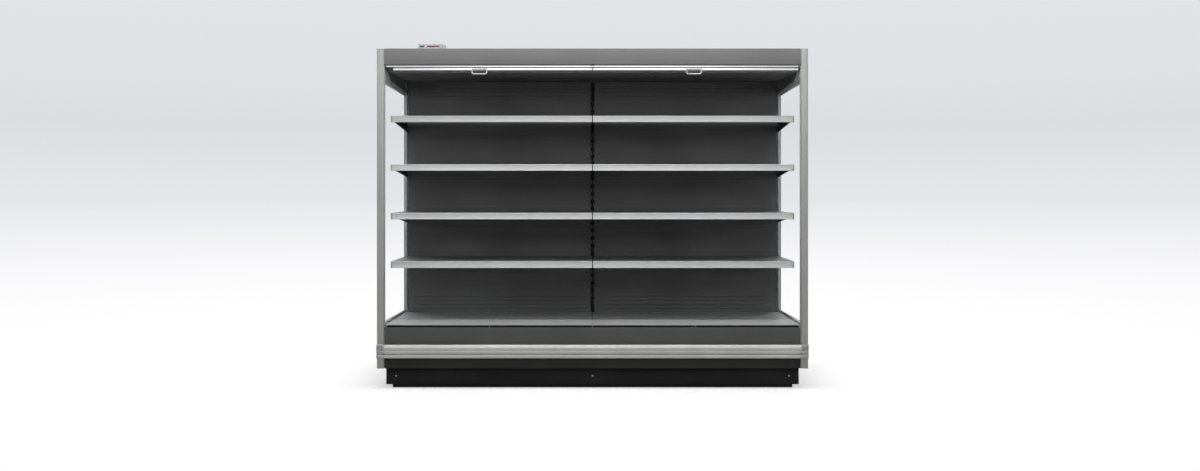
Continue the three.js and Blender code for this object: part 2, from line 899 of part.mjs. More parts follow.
// Aluminium channel that hangs under the roof panel and carries both blind rollers.
function blindCassette() {
  const half = fillHalf - seat;
  const front = cassetteSetback;
  const back = cassetteSetback + cassetteDepth;
  const top = cassetteTop;
  const path = [
    [front + cassetteFrontLip, cassetteBottom],
    [front, cassetteBottom],
    [front, top],
    [back, top],
    [back, cassetteBottom],
    [front + cassetteFrontLip + cassetteSlot, cassetteBottom],
  ];
  const channel = alongX(foldedSheet(path.reverse(), cassetteWall), -half, half);
  const bite = cassetteWall / 2;
  const plate = (from, to) =>
    block([from, to], [front + bite, back - bite], [cassetteBottom + bite, top - bite]);
  const plates = [
    plate(-half + bite, -half + bite + cassetteEndPlate),
    plate(-cassetteCentrePlate / 2, cassetteCentrePlate / 2),
    plate(half - bite - cassetteEndPlate, half - bite),
  ];
  const bearing = rodX(
    rollerPinDiameter / 2 + rollerPinClearance,
    -outerHalf,
    outerHalf,
    rollerSetback,
    rollerHeight,
    16,
  );
  return cut(join(channel, ...plates), bearing);
}

const rollerFrom = cassetteCentrePlate / 2 + rollerEndClearance;
const rollerTo = fillHalf - cassetteWall - cassetteEndPlate - rollerEndClearance;

// Right-hand roller with the blind wound on it, drawn about its own axis.
function blindRoller() {
  const pin = rollerPinDiameter / 2;
  return join(
    rodX(rollerRadius, rollerFrom, rollerTo, 0, 0, 24),
    rodX(pin, seat, rollerFrom + 1, 0, 0, 16),
    rodX(pin, rollerTo - 1, fillHalf - cassetteWall, 0, 0, 16),
  );
}

function blindFabric() {
  return block(
    [rollerFrom + blindFabricInset, rollerTo - blindFabricInset],
    [fabricSetback, fabricSetback + blindFabricThickness],
    [barTop + seat, rollerHeight],
  );
}

// Bottom bar of a blind with its D-shaped pull, for a blind whose bay starts at the centre line.
function blindBar(handleCentre) {
  const outline = [
    [barSetback + barBevel, barTop - barHeight],
    [barSetback + barDepth - barBevel, barTop - barHeight],
    [barSetback + barDepth, barTop - barHeight + barBevel],
    [barSetback + barDepth, barTop],
    [barSetback, barTop],
    [barSetback, barTop - barHeight + barBevel],
  ];
  const bar = alongX(outline, barCentreClearance, fillHalf - barEndClearance);
  const low = barTop - barHeight - handleBelowBar;
  const loop = (inset) => {
    const radius = handleDrop / 4;
    const half = handleWidth / 2 - inset;
    const foot = low + inset;
    const top = low + handleDrop - inset;
    const round = radius - inset / 2;
    return [
      ...arc(handleCentre - half + round, foot + round, round, round, 180, 270, 4),
      ...arc(handleCentre + half - round, foot + round, round, round, 270, 360, 4),
      [handleCentre + half, top],
      [handleCentre - half, top],
    ];
  };
  const back = barSetback + handleBehindBarFace;
  const handle = cut(
    alongY(loop(0), back - handleThickness, back),
    alongY(loop(handleBar), back - handleThickness - 1, back + 1),
  );
  return join(bar, handle);
}

// ---------------------------------------------------------------- cabinet shell

function endPost() {
  const outline = [
    [innerHalf, 0],
    ...arc(
      outerHalf - postCornerRadius,
      postCornerRadius,
      postCornerRadius,
      postCornerRadius,
      270,
      360,
      5,
    ),
    [outerHalf, postDepth],
    [innerHalf, postDepth],
  ];
  return alongZ(outline, endPanelBottom, cabinetHeight);
}

const windowSlope = (windowTopRear - windowTopFront) / windowRear;
const windowTopAt = (setback) => windowTopFront + windowSlope * setback;

function endFrame() {
  const front = postDepth + seat;
  const outline = [
    [front, endPanelBottom],
    [cabinetDepth, endPanelBottom],
    [cabinetDepth, cabinetHeight],
    [front, cabinetHeight],
    [front, windowTopAt(front)],
    [windowRear, windowTopRear],
    [windowRear, windowBottom],
    [front, windowBottom],
  ];
  return alongX(outline, innerHalf, outerHalf);
}

function endGlass() {
  const front = postDepth + seat;
  const back = windowRear - seat;
  const outline = [
    [front, windowBottom + seat],
    [back, windowBottom + seat],
    [back, windowTopAt(back) - seat],
    [front, windowTopAt(front) - seat],
  ];
  const inner = innerHalf + glassRecess;
  return alongX(outline, inner, inner + glassThickness);
}

// Open-topped tray with sloping ends, and the terminal blocks in it.
function electricalTray() {
  const low = cabinetHeight - roofCoverGap + seat;
  const high = low + trayHeight;
  const trayLeft = trayEndInset - innerHalf;
  const right = trayLeft + trayLength;
  const back = traySetback + trayDepth;
  const shape = (inset) => [
    [trayLeft + inset, low + inset],
    [right - inset, low + inset],
    [right - inset - trayEndSlope, high + inset],
    [trayLeft + inset + trayEndSlope, high + inset],
  ];
  const shell = cut(
    alongY(shape(0), traySetback, back),
    alongY(shape(2 * sheet), traySetback + sheet, back - sheet),
  );
  const places = [
    [smallWindowStart, smallWindowLength],
    [largeWindowStart, largeWindowLength],
  ];
  const windows = places.map(([start, length]) =>
    block(
      [trayLeft + start, trayLeft + start + length],
      [traySetback - 1, traySetback + sheet + 1],
      [high - trayWindowTop - trayWindowHeight, high - trayWindowTop],
    ),
  );
  const terminals = places.map(([start, length]) =>
    block(
      [trayLeft + start, trayLeft + start + length],
      [traySetback + terminalSetback, traySetback + terminalSetback + terminalDepth],
      [low + terminalFoot, high - trayWindowTop - terminalTopGap],
    ),
  );
  return join(cut(shell, ...windows), ...terminals);
}

// ---------------------------------------------------------------- assembly

footPlaces.forEach(([x, y], i) => {
  const foot = place(cabinet, `levelling_foot_${i + 1}`, levellingFoot(), "steel");
  foot.position.set(x, y, 0);
});
place(cabinet, "base_frame", baseFrame(), "blackPaint");
place(cabinet, "insulated_tub", insulatedTub(), "foamSkin");
place(cabinet, "front_panel", frontPanel(), "darkPaint");
place(cabinet, "lower_panel", lowerPanel(), "blackPaint");
place(cabinet, "bumper", bumper(), "anodised");
place(cabinet, "kick_plate", kickPlate(), "blackPaint");

place(
  cabinet,
  "rear_wall",
  block([-fillHalf, fillHalf], [rearWallFront, cabinetDepth], [tubRearTop + seat, roofUnder - seat]),
  "galvanised",
);
place(
  cabinet,
  "roof_panel",
  block([-fillHalf, fillHalf], [sheet + seat, cabinetDepth], [roofUnder, roofTop - seat]),
  "galvanised",
);
place(cabinet, "fascia", fascia(), "greyPaint");
place(cabinet, "canopy_liner", canopyLiner(), "blackPaint");
place(cabinet, "air_outlet", airOutlet(), "blackPlastic");
place(cabinet, "blind_cassette", blindCassette(), "anodised");
place(cabinet, "electrical_tray", electricalTray(), "galvanised");

const sides = [
  { name: "left", sign: -1, handleShift: leftHandleShift },
  { name: "right", sign: 1, handleShift: rightHandleShift },
];
for (const { name, sign, handleShift } of sides) {
  const toSide = (made) => (sign < 0 ? mirrored(made) : made);
  place(cabinet, `${name}_front_post`, toSide(endPost()), "anodised");
  place(cabinet, `${name}_end_frame`, toSide(endFrame()), "foamSkin");
  place(cabinet, `${name}_end_glass`, toSide(endGlass()), "glass");

  const blind = new THREE.Group();
  cabinet.add(blind);
  const roller = place(blind, `${name}_blind_roller`, toSide(blindRoller()), "blindFabric");
  roller.position.set(0, rollerSetback, rollerHeight);
  place(blind, `${name}_blind_fabric`, toSide(blindFabric()), "blindFabric");
  place(blind, `${name}_blind_bar`, toSide(blindBar(bayLength / 2 + sign * handleShift)), "anodised");

  const panel = backPanel(uprightWidth / 2 + seat, fillHalf - uprightWidth - seat);
  place(cabinet, `${name}_back_panel`, toSide(panel), "panelPaint");

  for (let level = 1; level <= shelfLevels; level += 1) {
    const group = new THREE.Group();
    group.position.z = shelfLevelTop(level);
    cabinet.add(group);
    place(group, `shelf_${level}_${name}`, toSide(shelf()), "steel");
    place(group, `price_rail_${level}_${name}`, toSide(priceRail()), "anodised");
  }
}

const sideUpright = fillHalf - uprightWidth / 2;
const sideSlot = innerHalf - sideSlotInset - sideUpright;
const centreSlots = [-centreSlotOffset, centreSlotOffset];
place(cabinet, "centre_upright", upright(centreSlots), "panelPaint");
place(cabinet, "left_upright", upright([-sideSlot]), "galvanised").position.x = -sideUpright;
place(cabinet, "right_upright", upright([sideSlot]), "galvanised").position.x = sideUpright;

const deckPanCount = 2 * deckPansPerBay;
const deckPanPitch = (2 * innerHalf) / deckPanCount;
for (let i = 0; i < deckPanCount; i += 1) {
  const pan = place(cabinet, `deck_pan_${i + 1}`, deckPan(deckPanPitch - deckPanGap), "steel");
  pan.position.x = (i + 0.5) * deckPanPitch - innerHalf;
}
place(cabinet, "return_grille", returnGrille(), "blackPlastic");
place(cabinet, "evaporator_coil", evaporatorCoil(), "coil");
place(cabinet, "fan_tray", fanTray(), "galvanised");
fanPlaces.forEach((x, i) => {
  place(cabinet, `fan_rotor_${i + 1}`, fanRotor(), "blackPlastic").applyMatrix4(fanMatrix(x));
});

// The origin lies on the floor, at the middle of the cabinet's length and depth.
cabinet.position.y = (bumperDepth - cabinetDepth) / 2;

export default fridge;
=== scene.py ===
import json
import math

import bmesh
import bpy
from mathutils import Matrix, Vector


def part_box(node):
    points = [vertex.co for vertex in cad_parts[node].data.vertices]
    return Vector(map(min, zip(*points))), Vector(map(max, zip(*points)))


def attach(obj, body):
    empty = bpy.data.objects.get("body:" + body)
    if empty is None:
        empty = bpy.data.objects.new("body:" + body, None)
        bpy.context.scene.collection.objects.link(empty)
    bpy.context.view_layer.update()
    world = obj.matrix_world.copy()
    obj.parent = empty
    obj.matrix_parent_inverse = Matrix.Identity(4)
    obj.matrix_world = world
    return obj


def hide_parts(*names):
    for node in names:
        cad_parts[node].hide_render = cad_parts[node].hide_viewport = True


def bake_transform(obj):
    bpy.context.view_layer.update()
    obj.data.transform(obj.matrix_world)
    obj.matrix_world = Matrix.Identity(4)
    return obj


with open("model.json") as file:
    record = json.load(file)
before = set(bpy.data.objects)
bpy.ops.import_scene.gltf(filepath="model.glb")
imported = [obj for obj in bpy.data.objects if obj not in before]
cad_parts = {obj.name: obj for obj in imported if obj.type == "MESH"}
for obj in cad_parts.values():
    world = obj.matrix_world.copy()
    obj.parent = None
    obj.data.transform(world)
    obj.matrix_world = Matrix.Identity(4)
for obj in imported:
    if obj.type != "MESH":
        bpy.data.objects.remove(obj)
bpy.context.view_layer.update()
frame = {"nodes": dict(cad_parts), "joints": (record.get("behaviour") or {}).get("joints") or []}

# ---------------------------------------------------------------- studio
# A white studio floor that fades to pale grey in the distance. Three long softboxes hang above
# and in front, with weak ones at the corners. The camera is at counter height, square on.

scene = bpy.context.scene
scene.view_settings.view_transform = "Standard"

photo = bpy.data.cameras.new("photo_camera")
photo.sensor_width = 36
photo.lens = 30.5
photo.shift_x = 7.5 / 1200
photo.shift_y = -45.9 / 1200
photo.clip_end = 1000
camera = bpy.data.objects.new("photo_camera", photo)
camera.location = (0, -6.494, 1.2)
camera.rotation_euler = (math.pi / 2, 0, 0)
scene.collection.objects.link(camera)
scene.camera = camera


def linear(colour):
    """An sRGB hex colour as linear red, green, blue and alpha."""
    parts = [int(colour[i : i + 2], 16) / 255 for i in (1, 3, 5)]
    return [*(c / 12.92 if c <= 0.04045 else ((c + 0.055) / 1.055) ** 2.4 for c in parts), 1]


def add(tree, kind, sockets=None, stops=(), **settings):
    """Adds a node with its settings; a socket takes a value or another node's output."""
    node = tree.nodes.new(kind)
    for name, value in settings.items():
        setattr(node, name, value)
    for place, colour in stops[2:]:
        node.color_ramp.elements.new(place)
    for element, (place, colour) in zip(node.color_ramp.elements if stops else (), stops):
        element.position, element.color = place, linear(colour)
    for socket, value in (sockets or {}).items():
        if isinstance(value, bpy.types.NodeSocket):
            tree.links.new(value, node.inputs[socket])
        else:
            node.inputs[socket].default_value = value
    return node


def seen_by_camera(tree):
    """1 for what the camera, metal or glass looks at, 0 for the light that falls on the fridge."""
    path = add(tree, "ShaderNodeLightPath").outputs
    metal = add(tree, "ShaderNodeMath", {0: path["Is Camera Ray"], 1: path["Is Glossy Ray"]})
    glass = {0: metal.outputs[0], 1: path["Is Transmission Ray"]}
    return add(tree, "ShaderNodeMath", glass, use_clamp=True).outputs[0]


sky = bpy.data.worlds.new("studio_air")
sky.use_nodes = True
sky.node_tree.nodes.clear()
air = sky.node_tree
direction = add(air, "ShaderNodeTexCoord").outputs["Generated"]
up = add(air, "ShaderNodeSeparateXYZ", {0: direction}).outputs["Z"]
walls = add(
    air,
    "ShaderNodeValToRGB",
    {0: up},
    stops=[(0, "#E4E6EA"), (0.06, "#DBDDE1"), (0.1, "#DFE1E5"), (0.2, "#E2E4E8"), (1, "#F4F5F7")],
)
shown = add(air, "ShaderNodeBackground", {"Color": walls.outputs[0], "Strength": 1.0})
fill = add(air, "ShaderNodeBackground", {"Color": linear("#FDFDFF"), "Strength": 0.03})
both = add(air, "ShaderNodeMixShader", {0: seen_by_camera(air), 1: fill.outputs[0], 2: shown.outputs[0]})
add(air, "ShaderNodeOutputWorld", {0: both.outputs[0]})
scene.world = sky


def softbox(name, place, aim, size, power):
    lamp = bpy.data.lights.new(name, "AREA")
    lamp.shape = "RECTANGLE"
    lamp.size, lamp.size_y = size
    lamp.energy = power
    made = bpy.data.objects.new(name, lamp)
    made.location = place
    made.rotation_euler = (Vector(aim) - Vector(place)).to_track_quat("-Z", "Y").to_euler()
    scene.collection.objects.link(made)


softbox("overhead_softbox", (0, -1.35, 3.7), (0, -0.2, 0.6), (4.6, 0.9), 64)
softbox("key_softbox", (0, -2.7, 3.2), (0, 0, 0.9), (4.4, 0.9), 12)
softbox("front_softbox", (0, -5.2, 2.9), (0, 0, 1.1), (4.6, 1.4), 38)
softbox("left_softbox", (-4.2, -2.6, 1.6), (-1.25, 0.3, 1.1), (1.2, 1.6), 15)
softbox("right_softbox", (4.2, -2.6, 1.6), (1.25, 0.3, 1.1), (1.2, 1.6), 15)
softbox("rear_left_softbox", (-4, 3.6, 2.4), (-0.9, 0.2, 1), (1.6, 1.2), 40)
softbox("rear_right_softbox", (4, 3.6, 2.4), (0.9, 0.2, 1), (1.6, 1.2), 40)

paving = bmesh.new()
bmesh.ops.create_grid(paving, x_segments=8, y_segments=8, size=300)
bmesh.ops.translate(paving, vec=(0, 0, -0.0004), verts=paving.verts[:])
ground = bpy.data.meshes.new("studio_floor")
paving.to_mesh(ground)
paving.free()
floor = bpy.data.objects.new("studio_floor", ground)
scene.collection.objects.link(floor)

sweep = bpy.data.materials.new("white_paper_sweep")
sweep.use_nodes = True
paper = sweep.node_tree
paper.nodes.clear()
spot = add(paper, "ShaderNodeTexCoord").outputs["Object"]
far = add(paper, "ShaderNodeVectorMath", {0: spot}, operation="LENGTH").outputs["Value"]
haze = add(
    paper,
    "ShaderNodeValToRGB",
    {0: add(paper, "ShaderNodeMath", {0: far, 1: 100.0}, operation="DIVIDE").outputs[0]},
    stops=[(0.05, "#FFFFFF"), (0.107, "#F9F9FB"), (0.175, "#F3F3F6"), (0.33, "#ECEDF0"), (1, "#E4E6EA")],
)
folded_spot = add(paper, "ShaderNodeVectorMath", {0: spot}, operation="ABSOLUTE").outputs[0]
beside = add(paper, "ShaderNodeVectorMath", {0: folded_spot, 1: (1.3, 0.42, 0)}, operation="SUBTRACT")
outside = add(paper, "ShaderNodeVectorMath", {0: beside.outputs[0], 1: (0, 0, 0)}, operation="MAXIMUM")
clear = add(paper, "ShaderNodeVectorMath", {0: outside.outputs[0]}, operation="LENGTH").outputs["Value"]
looked_at = seen_by_camera(paper)
lift = add(paper, "ShaderNodeMath", {0: looked_at, 1: 0.5}, operation="MULTIPLY").outputs[0]
tone = {0: looked_at, 6: linear("#868686"), 7: linear("#F2F2F2")}
bounce = add(paper, "ShaderNodeMix", tone, data_type="RGBA").outputs[2]
matt = add(paper, "ShaderNodeBsdfDiffuse", {"Color": bounce})
glow = add(paper, "ShaderNodeEmission", {"Color": linear("#FFFFFF"), "Strength": lift})
near = add(paper, "ShaderNodeAddShader", {0: matt.outputs[0], 1: glow.outputs[0]})
distant = add(paper, "ShaderNodeEmission", {"Color": haze.outputs[0], "Strength": 1.0})
spread = add(
    paper, "ShaderNodeMapRange", {0: clear, 1: 0.0, 2: 0.35, 3: 0.0, 4: 1.0}, interpolation_type="SMOOTHSTEP"
)
share = add(paper, "ShaderNodeMath", {0: spread.outputs[0], 1: looked_at}, operation="MULTIPLY")
mixed = add(paper, "ShaderNodeMixShader", {0: share.outputs[0], 1: near.outputs[0], 2: distant.outputs[0]})
add(paper, "ShaderNodeOutputMaterial", {0: mixed.outputs[0]})
ground.materials.append(sweep)

# ---------------------------------------------------------------- levelling feet
# Four screw feet under the frame's rails: a zinc-plated M16 stem and hexagon on a moulded
# rubber pad. Zinc plate is bright with cloudy grey patches; the pad is dull black.

MM = 0.001
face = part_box("left_front_post")[0].y


def at(x, setback, height):
    """A point from millimetres: along the cabinet, back from the posts' faces, and up."""
    return Vector((x * MM, face + setback * MM, height * MM))


def finish(name, roughness, metallic=0.0):
    """A material whose shader has one roughness and metallic all over."""
    made = bpy.data.materials.new(name)
    made.use_nodes = True
    shader = made.node_tree.nodes["Principled BSDF"]
    shader.inputs["Roughness"].default_value = roughness
    shader.inputs["Metallic"].default_value = metallic
    return made, made.node_tree, shader.inputs


def grain(tree, size, stretch=(1, 1, 1), **settings):
    """Noise whose grains are size millimetres across, drawn out along the short axes of stretch."""
    place = add(tree, "ShaderNodeTexCoord").outputs["Object"]
    drawn = add(tree, "ShaderNodeMapping", {"Vector": place, "Scale": stretch})
    sockets = {"Vector": drawn.outputs[0], "Scale": 1 / (size * MM), "Detail": 2.0}
    return add(tree, "ShaderNodeTexNoise", sockets, **settings).outputs["Fac"]


def between(tree, factor, low, high):
    """A colour from low to high as the pattern goes over its middle range."""
    ramp = add(tree, "ShaderNodeValToRGB", {0: factor}, stops=[(0.3, low), (0.7, high)])
    return ramp.outputs[0]


def levels(tree, factor, low, high):
    """A number from low to high as the pattern goes over its middle range."""
    return add(tree, "ShaderNodeMapRange", {0: factor, 1: 0.3, 2: 0.7, 3: low, 4: high}).outputs[0]


def relief(tree, height, depth, strength=1.0):
    """Bump whose pattern is depth millimetres deep."""
    sockets = {"Height": height, "Distance": depth * MM, "Strength": strength}
    return add(tree, "ShaderNodeBump", sockets).outputs[0]


def zinc_plate():
    """Bright zinc on machined steel: cloudy patches about 12 mm across, fine turning marks."""
    made, tree, surface = finish("zinc_plated_steel", 0.35, 0.9)
    tree.links.new(between(tree, grain(tree, 12), "#8E9296", "#B9BCBE"), surface["Base Color"])
    tree.links.new(levels(tree, grain(tree, 5), 0.28, 0.5), surface["Roughness"])
    tree.links.new(relief(tree, grain(tree, 1, (1, 1, 8)), 0.05), surface["Normal"])
    return made


def black_rubber():
    """Moulded EPDM: dull black with a grey bloom and a fine grain."""
    made, tree, surface = finish("black_epdm_rubber", 0.8)
    surface["Specular IOR Level"].default_value = 0.15
    tree.links.new(between(tree, grain(tree, 30), "#101010", "#1D1D1C"), surface["Base Color"])
    tree.links.new(relief(tree, grain(tree, 1.5), 0.08), surface["Normal"])
    return made


def make_piece(bm, name, body, materials, stands_for=(), crease=32):
    """Makes the finished mesh a piece of the fridge that rides on a CAD body."""
    for polygon in bm.faces:
        polygon.smooth = True
    for edge in bm.edges:
        edge.smooth = edge.calc_face_angle(math.pi) < math.radians(crease)
    mesh = bpy.data.meshes.new(name)
    bm.to_mesh(mesh)
    bm.free()
    for material in materials:
        mesh.materials.append(material)
    piece = bpy.data.objects.new(name, mesh)
    scene.collection.objects.link(piece)
    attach(piece, body)
    if stands_for:
        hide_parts(*stands_for)
    return piece


def turned(profile, steps=32):
    """A solid of revolution about Z from its half outline of (radius, height) in millimetres."""
    bm = bmesh.new()
    verts = [bm.verts.new((r * MM, 0, z * MM)) for r, z in profile]
    edges = [bm.edges.new(pair) for pair in zip(verts, verts[1:])]
    full = {"cent": (0, 0, 0), "axis": (0, 0, 1), "angle": 2 * math.pi, "steps": steps}
    bmesh.ops.spin(bm, geom=verts + edges, use_merge=True, **full)
    bmesh.ops.remove_doubles(bm, verts=bm.verts[:], dist=1e-6)
    bmesh.ops.recalc_face_normals(bm, faces=bm.faces[:])
    return bm


def ease(bm, radius, segments=2, corner=30, where=lambda edge: True):
    """Rounds the sharp edges to a radius in millimetres."""
    sharp = math.radians(corner)
    edges = [e for e in bm.edges if e.is_manifold and e.calc_face_angle(0) > sharp and where(e)]
    bmesh.ops.bevel(
        bm,
        geom=edges,
        offset=radius * MM,
        segments=segments,
        profile=0.5,
        affect="EDGES",
        material=-1,
        clamp_overlap=True,
    )
    return bm


zinc = zinc_plate()
rubber = black_rubber()
for number in range(1, 5):
    node = f"levelling_foot_{number}"
    low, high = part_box(node)
    middle = Vector(((low.x + high.x) / 2, (low.y + high.y) / 2, 0))
    pad = turned([(0, 0), (33, 0), (35, 1.5), (35, 6), (33, 8), (19, 10), (0, 10)])
    bmesh.ops.translate(pad, vec=middle, verts=pad.verts[:])
    make_piece(pad, f"foot_pad_{number}", "cabinet", [rubber])
    threads = [(7 + (turn % 2), 44.7 + turn * 1.5) for turn in range(33)]
    below = [(0, 9), (13, 9), (15, 11), (15, 20), (8, 20), (8, 34), (15, 34), (15, 44.7)]
    stem = turned([*below, *threads, (0, 94)])
    bmesh.ops.create_cone(
        stem,
        cap_ends=True,
        segments=6,
        radius1=14.8 * MM,
        radius2=14.8 * MM,
        depth=13 * MM,
        matrix=Matrix.Translation((0, 0, 27 * MM)),
    )
    bmesh.ops.translate(stem, vec=middle, verts=stem.verts[:])
    make_piece(stem, f"foot_stem_{number}", "cabinet", [zinc], [node])

# ---------------------------------------------------------------- base frame
# Two pressed channels and three cross members, welded and powder coated black. The coat is
# thin and satin, with orange peel, and rubbed to a softer gloss where it has been handled.


def eased_copy(node, radius, segments=2):
    """A merged copy of a CAD solid with its edges rounded."""
    bm = bmesh.new()
    bm.from_mesh(frame["nodes"][node].data)
    bmesh.ops.remove_doubles(bm, verts=bm.verts[:], dist=5e-6)
    flat = math.radians(0.5)
    bmesh.ops.dissolve_limit(bm, angle_limit=flat, verts=bm.verts[:], edges=bm.edges[:])
    return ease(bm, radius, segments)


def powder_coat(name, shade, colour, gloss, sheen=0.5):
    """Baked polyester powder: cloudy over 400 mm, orange peel 3 mm across, rubbed in places."""
    made, tree, surface = finish(name, gloss)
    surface["Specular IOR Level"].default_value = sheen
    cloud = between(tree, grain(tree, 400), shade, colour)
    fleck = levels(tree, grain(tree, 2.5), 0.0, 0.16)
    speckled = add(tree, "ShaderNodeMix", {0: fleck, 6: cloud, 7: linear(shade)}, data_type="RGBA")
    tree.links.new(speckled.outputs[2], surface["Base Color"])
    rubbed = levels(tree, grain(tree, 60, (0.2, 1, 1)), gloss - 0.07, gloss + 0.1)
    tree.links.new(rubbed, surface["Roughness"])
    tree.links.new(relief(tree, grain(tree, 3), 0.05), surface["Normal"])
    return made


black_coat = powder_coat("matt_black_powder_coat", "#3A3A39", "#474746", 0.65, 0.12)
frame_copy = eased_copy("base_frame", 0.8)
make_piece(frame_copy, "welded_base_frame", "cabinet", [black_coat], ["base_frame"])

# ---------------------------------------------------------------- insulated tub
# Foam-filled steel tub under the deck, in light grey coated sheet, with its drain spout. The
# sheet is smooth and a little dented by the foam.


def coated_sheet():
    """Coil-coated steel over foam: pale grey, slow dents 150 mm across, faint grime."""
    made, tree, surface = finish("coil_coated_steel", 0.45)
    tree.links.new(between(tree, grain(tree, 220), "#A9ABAA", "#B9BBBA"), surface["Base Color"])
    tree.links.new(levels(tree, grain(tree, 40), 0.38, 0.55), surface["Roughness"])
    tree.links.new(relief(tree, grain(tree, 150), 0.6), surface["Normal"])
    return made


panel_skin = coated_sheet()
tub = eased_copy("insulated_tub", 1.2)
make_piece(tub, "foamed_tub", "cabinet", [panel_skin], ["insulated_tub"])

# ---------------------------------------------------------------- front and lower panels
# Pressed steel panels that clip over the tub's front, above and behind the bumper: dark grey
# above, black below. The bend along each top edge catches the light.


def folded(path, ends, thickness, bend):
    """Sheet folded along a path of (setback, height), drawn as its outer face, in millimetres."""
    bm = bmesh.new()
    verts = [bm.verts.new(at(ends[0], *place)) for place in path]
    edges = [bm.edges.new(pair) for pair in zip(verts, verts[1:])]
    swept = bmesh.ops.extrude_edge_only(bm, edges=edges)["geom"]
    far_end = [item for item in swept if isinstance(item, bmesh.types.BMVert)]
    bmesh.ops.translate(bm, vec=((ends[1] - ends[0]) * MM, 0, 0), verts=far_end)
    ease(bm, bend, 3)
    bmesh.ops.solidify(bm, geom=bm.faces[:], thickness=thickness * MM)
    return bm


low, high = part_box("front_panel")
width = (low.x / MM, high.x / MM)
dark_grey = powder_coat("dark_grey_powder_coat", "#5A5A5A", "#646464", 0.5, 0.25)
upper = folded([(9.7, 232.3), (6, 232.3), (6, 372), (9.7, 372)], width, 1.5, 3)
make_piece(upper, "upper_front_panel", "cabinet", [dark_grey], ["front_panel"])
lower = folded([(36, 126), (6, 126), (6, 232), (9.7, 232)], width, 1.5, 2)
make_piece(lower, "lower_front_panel", "cabinet", [black_coat], ["lower_panel"])

# ---------------------------------------------------------------- bumper
# Trolley bumper across the front: an anodised extrusion with three rounded ribs, between two
# moulded grey end caps that turn the corner. Trolleys leave fine scuffs along the ribs.


def anodised(name, shade, colour, gloss, metallic, along):
    """Satin anodised extrusion: die lines a few millimetres apart along it, cloudy sheen."""
    made, tree, surface = finish(name, gloss, metallic)
    lines = grain(tree, 2.5, along)
    cloud = grain(tree, 180)
    mixed = add(tree, "ShaderNodeMix", {0: 0.35, 2: lines, 3: cloud}).outputs[0]
    tree.links.new(between(tree, mixed, shade, colour), surface["Base Color"])
    tree.links.new(levels(tree, lines, gloss - 0.06, gloss + 0.08), surface["Roughness"])
    tree.links.new(relief(tree, lines, 0.03), surface["Normal"])
    return made


def moulded(name, shade, colour, gloss):
    """Moulded plastic: even colour with a fine spark-eroded texture about 1 mm across."""
    made, tree, surface = finish(name, gloss)
    tree.links.new(between(tree, grain(tree, 90), shade, colour), surface["Base Color"])
    tree.links.new(levels(tree, grain(tree, 12), gloss - 0.05, gloss + 0.07), surface["Roughness"])
    tree.links.new(relief(tree, grain(tree, 1), 0.04), surface["Normal"])
    return made


def extruded(points, run):
    """A solid from an outline of points, pushed along a vector."""
    bm = bmesh.new()
    base = bm.faces.new([bm.verts.new(point) for point in points])
    pushed = bmesh.ops.extrude_face_region(bm, geom=[base])["geom"]
    moved = [item for item in pushed if isinstance(item, bmesh.types.BMVert)]
    bmesh.ops.translate(bm, vec=run, verts=moved)
    bmesh.ops.recalc_face_normals(bm, faces=bm.faces[:])
    return bm


low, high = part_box("bumper")
half = high.x / MM
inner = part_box("right_front_post")[0].x / MM
front_face = face - 25 * MM
outline = [
    (-0.3, 188),
    (-10, 188),
    (-18, 190),
    (-23.5, 194.5),
    (-26, 200),
    (-26, 209.5),
    (-25.2, 211),
    (-10, 211.5),
    (-10, 222.5),
    (-25.2, 223),
    (-26, 224.5),
    (-26, 235),
    (-25, 237),
    (-22, 238),
    (-22, 239.5),
    (-25, 241.5),
    (-25.6, 246),
    (-25.2, 252),
    (-23, 259),
    (-18.5, 266),
    (-12, 271),
    (-5, 273),
    (-0.3, 273),
]
bumper = extruded([at(-inner, *place) for place in outline], (2 * inner * MM, 0, 0))
bumper_metal = anodised("anodised_bumper_extrusion", "#A09F9C", "#C4C3C0", 0.38, 0.6, (0.004, 1, 1))
make_piece(bumper, "bumper_extrusion", "cabinet", [bumper_metal], ["bumper"], crease=40)

cap_plastic = moulded("grey_moulded_cap", "#BABBBA", "#C6C7C6", 0.4)
for side, sign in (("left", -1), ("right", 1)):
    corners = [(inner + 0.4, -0.3), (inner + 0.4, -26), (half, -26), (half, -0.3)]
    cap = extruded([at(sign * x, s, 188) for x, s in corners], (0, 0, 85 * MM))
    outside = sign * half * MM
    ease(
        cap,
        16,
        6,
        where=lambda e: all(abs(v.co.x - outside) < 1e-4 and v.co.y < front_face for v in e.verts),
    )
    for height in (209, 213, 217, 233, 237, 241):
        plane = {"plane_co": (0, 0, height * MM), "plane_no": (0, 0, 1)}
        bmesh.ops.bisect_plane(cap, geom=cap.verts[:] + cap.edges[:] + cap.faces[:], **plane)
    grooves = [v for v in cap.verts if any(abs(v.co.z - z * MM) < 1e-5 for z in (213, 237))]
    dipped = [v for v in grooves if v.co.y < face - 1 * MM]
    bmesh.ops.translate(cap, vec=(0, 3 * MM, 0), verts=dipped)
    ease(cap, 5, 4, corner=50, where=lambda e: all(abs(v.co.z - 0.273) < 1e-5 for v in e.verts))
    ease(cap, 1, 2, corner=50)
    make_piece(cap, f"{side}_bumper_cap", "cabinet", [cap_plastic], crease=60)

# ---------------------------------------------------------------- kick plate
# Black pressed plate that closes the space under the cabinet, held by three bright pan-head
# screws, with a rubber blade behind its lower edge that seals to the floor.

